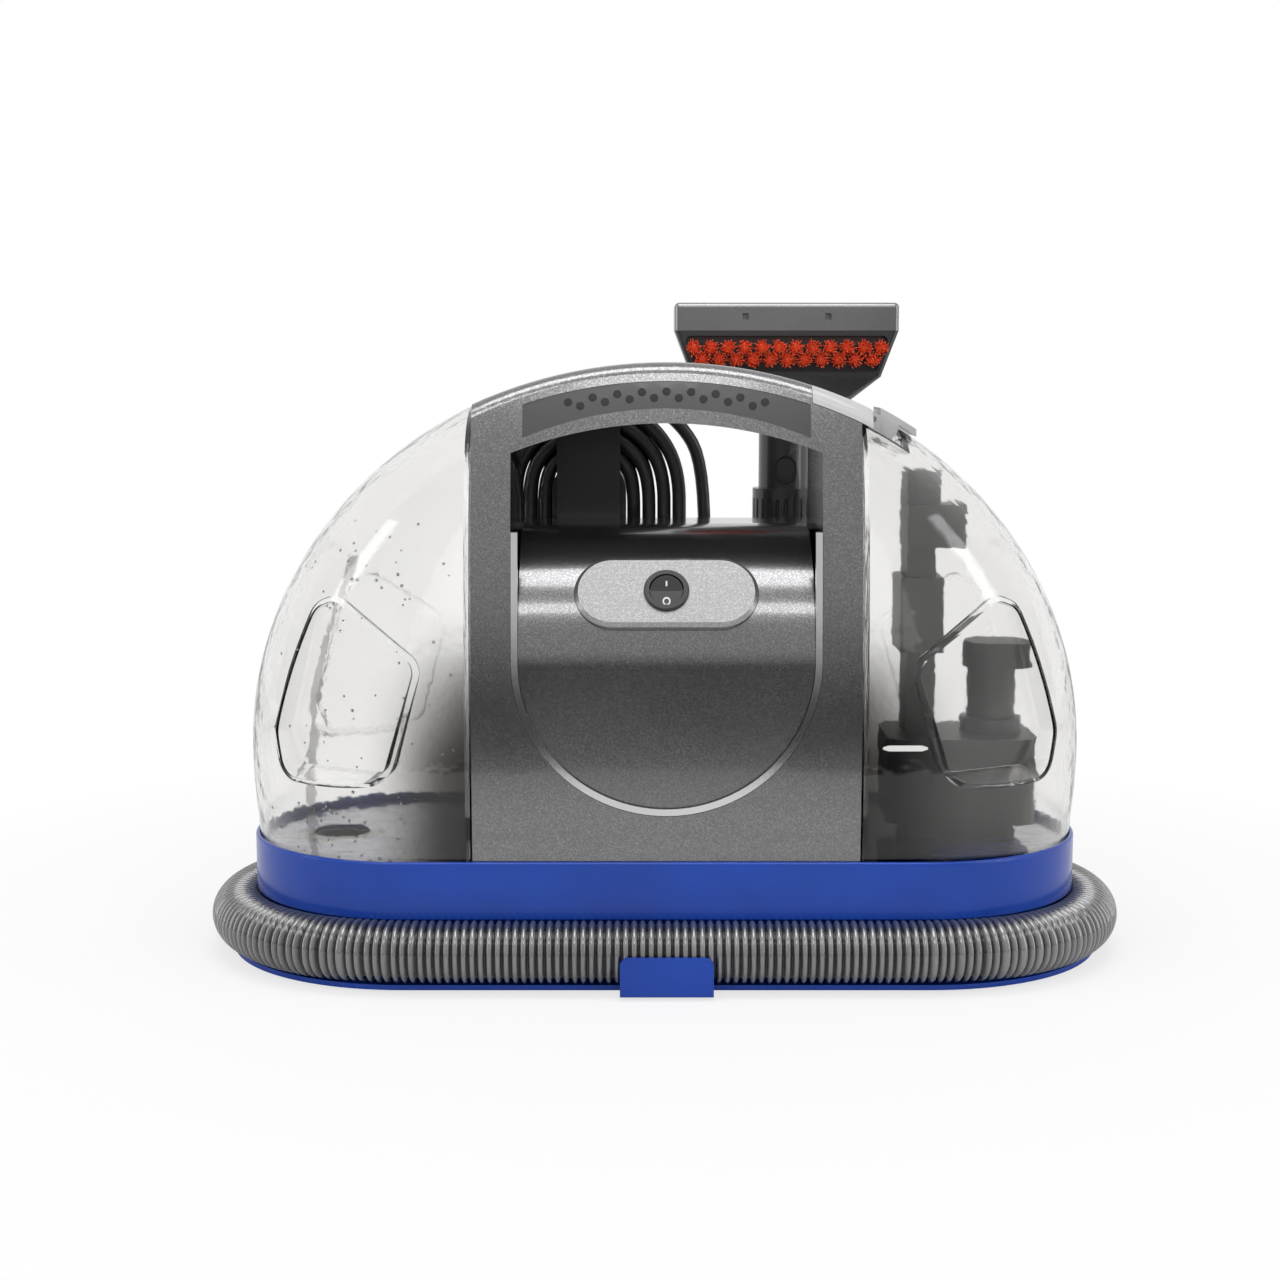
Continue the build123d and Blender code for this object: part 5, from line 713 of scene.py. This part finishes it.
ray = tree.new("ShaderNodeLightPath")
place = tree.new("ShaderNodeTexCoord")
away = tree.new("ShaderNodeVectorMath")
away.operation = "LENGTH"
fade = tree.new("ShaderNodeMapRange")
fade.inputs["From Min"].default_value = SHADOW_NEAR
fade.inputs["From Max"].default_value = SHADOW_FAR
fade.inputs["To Min"].default_value = NEAR_WHITE
fade.inputs["To Max"].default_value = 1.0
share = tree.new("ShaderNodeMath")
share.operation = "MULTIPLY"
seen = tree.new("ShaderNodeMath")
seen.operation = "MAXIMUM"
mixed = tree.new("ShaderNodeMixShader")
links.new(place.outputs["Object"], away.inputs[0])
links.new(away.outputs["Value"], fade.inputs["Value"])
links.new(fade.outputs["Result"], share.inputs[1])
links.new(ray.outputs["Is Camera Ray"], seen.inputs[0])
links.new(ray.outputs["Is Transmission Ray"], seen.inputs[1])
links.new(seen.outputs["Value"], share.inputs[0])
links.new(share.outputs["Value"], mixed.inputs["Fac"])
links.new(matt.outputs["BSDF"], mixed.inputs[1])
links.new(white.outputs["Emission"], mixed.inputs[2])
links.new(mixed.outputs["Shader"], tree["Material Output"].inputs["Surface"])
floor.data.materials.append(floor_finish)
print("floor fades to white between", SHADOW_NEAR, "and", SHADOW_FAR, "m from the middle")

# %% [markdown]
# ## Studio
# The world gives the even light and shows as white to the camera and through the clear tanks.
# In mirror reflections the room behind the camera is dark below eye level and light above it,
# as a studio is, which draws the deep grey of the tower front and the silver of its upper edges.
# Light that is thrown back inside a tank wall would pick up that dark room as black lines,
# so reflections that come after a pass through clear plastic see white as well.

# %% Set up the studio
EVEN_LIGHT = 0.55
DARK_Y, LIGHT_Y, DARK_LEVEL, LIGHT_LEVEL = -0.8, -0.2, 0.05, 0.9
EYE_LOW_Z, EYE_HIGH_Z, TOP_LEVEL = -0.07, 0.10, 0.75
world = bpy.data.worlds.new("studio")
scene.world = world
world.use_nodes = True
tree, links = world.node_tree.nodes, world.node_tree.links
even = tree["Background"]
even.inputs["Color"].default_value = (1.0, 1.0, 1.0, 1.0)
even.inputs["Strength"].default_value = EVEN_LIGHT
backdrop = tree.new("ShaderNodeBackground")
backdrop.inputs["Color"].default_value = (1.0, 1.0, 1.0, 1.0)
backdrop.inputs["Strength"].default_value = 1.0
mirrored = tree.new("ShaderNodeBackground")
mirrored.inputs["Strength"].default_value = 1.0
ray = tree.new("ShaderNodeLightPath")
seen = tree.new("ShaderNodeMath")
seen.operation = "MAXIMUM"
links.new(ray.outputs["Is Camera Ray"], seen.inputs[0])
links.new(ray.outputs["Is Transmission Ray"], seen.inputs[1])
inside = tree.new("ShaderNodeMath")
inside.operation = "MINIMUM"
links.new(ray.outputs["Is Glossy Ray"], inside.inputs[0])
links.new(ray.outputs["Transmission Depth"], inside.inputs[1])
bright = tree.new("ShaderNodeMath")
bright.operation = "MAXIMUM"
links.new(seen.outputs["Value"], bright.inputs[0])
links.new(inside.outputs["Value"], bright.inputs[1])
way = tree.new("ShaderNodeTexCoord")
split = tree.new("ShaderNodeSeparateXYZ")
links.new(way.outputs["Generated"], split.inputs["Vector"])
to_back = tree.new("ShaderNodeMapRange")
to_back.inputs["From Min"].default_value = DARK_Y
to_back.inputs["From Max"].default_value = LIGHT_Y
to_back.inputs["To Min"].default_value = DARK_LEVEL
to_back.inputs["To Max"].default_value = LIGHT_LEVEL
links.new(split.outputs["Y"], to_back.inputs["Value"])
to_top = tree.new("ShaderNodeMapRange")
to_top.inputs["From Min"].default_value = EYE_LOW_Z
to_top.inputs["From Max"].default_value = EYE_HIGH_Z
to_top.inputs["To Min"].default_value = 0.0
to_top.inputs["To Max"].default_value = TOP_LEVEL
links.new(split.outputs["Z"], to_top.inputs["Value"])
lighter = tree.new("ShaderNodeMath")
lighter.operation = "MAXIMUM"
links.new(to_back.outputs["Result"], lighter.inputs[0])
links.new(to_top.outputs["Result"], lighter.inputs[1])
links.new(lighter.outputs["Value"], mirrored.inputs["Color"])
first_mix, last_mix = tree.new("ShaderNodeMixShader"), tree.new("ShaderNodeMixShader")
links.new(ray.outputs["Is Glossy Ray"], first_mix.inputs["Fac"])
links.new(even.outputs["Background"], first_mix.inputs[1])
links.new(mirrored.outputs["Background"], first_mix.inputs[2])
links.new(bright.outputs["Value"], last_mix.inputs["Fac"])
links.new(first_mix.outputs["Shader"], last_mix.inputs[1])
links.new(backdrop.outputs["Background"], last_mix.inputs[2])
links.new(last_mix.outputs["Shader"], tree["World Output"].inputs["Surface"])
print("studio: even light of", EVEN_LIGHT, "and a white backdrop")

# %% [markdown]
# ## Lamps
# One broad soft lamp hangs above the machine and one above the camera, with two tall lamps at the sides.
# Large rectangles give the long, soft highlights that clear and painted plastic show in a studio.
# A last lamp only fills the shadows, so mirror reflections don't see it.

# %% Hang the lamps


def soft_lamp(name, spot, wide, tall, power):
    """A large rectangular lamp that points at the machine."""
    lamp = bpy.data.lights.new(name, "AREA")
    lamp.shape = "RECTANGLE"
    lamp.size, lamp.size_y = wide, tall
    lamp.energy = power
    made = bpy.data.objects.new(name, lamp)
    made.location = spot
    made.rotation_mode = "QUATERNION"
    made.rotation_quaternion = (Vector((0.0, 0.0, 0.15)) - Vector(spot)).to_track_quat("-Z", "Y")
    scene.collection.objects.link(made)
    return made


soft_lamp("top_lamp", (0.0, -0.25, 1.2), 0.9, 0.45, 5.0)
soft_lamp("front_lamp", (0.0, -1.0, 1.15), 1.0, 0.22, 2.8)
soft_lamp("left_lamp", (-0.95, -0.2, 0.4), 0.2, 0.8, 1.4)
soft_lamp("right_lamp", (0.95, -0.2, 0.4), 0.2, 0.8, 1.4)
fill_lamp = soft_lamp("fill_lamp", (0.0, -1.4, 0.5), 0.8, 0.6, 2.8)
fill_lamp.visible_glossy = False
scene.view_settings.view_transform = "Standard"
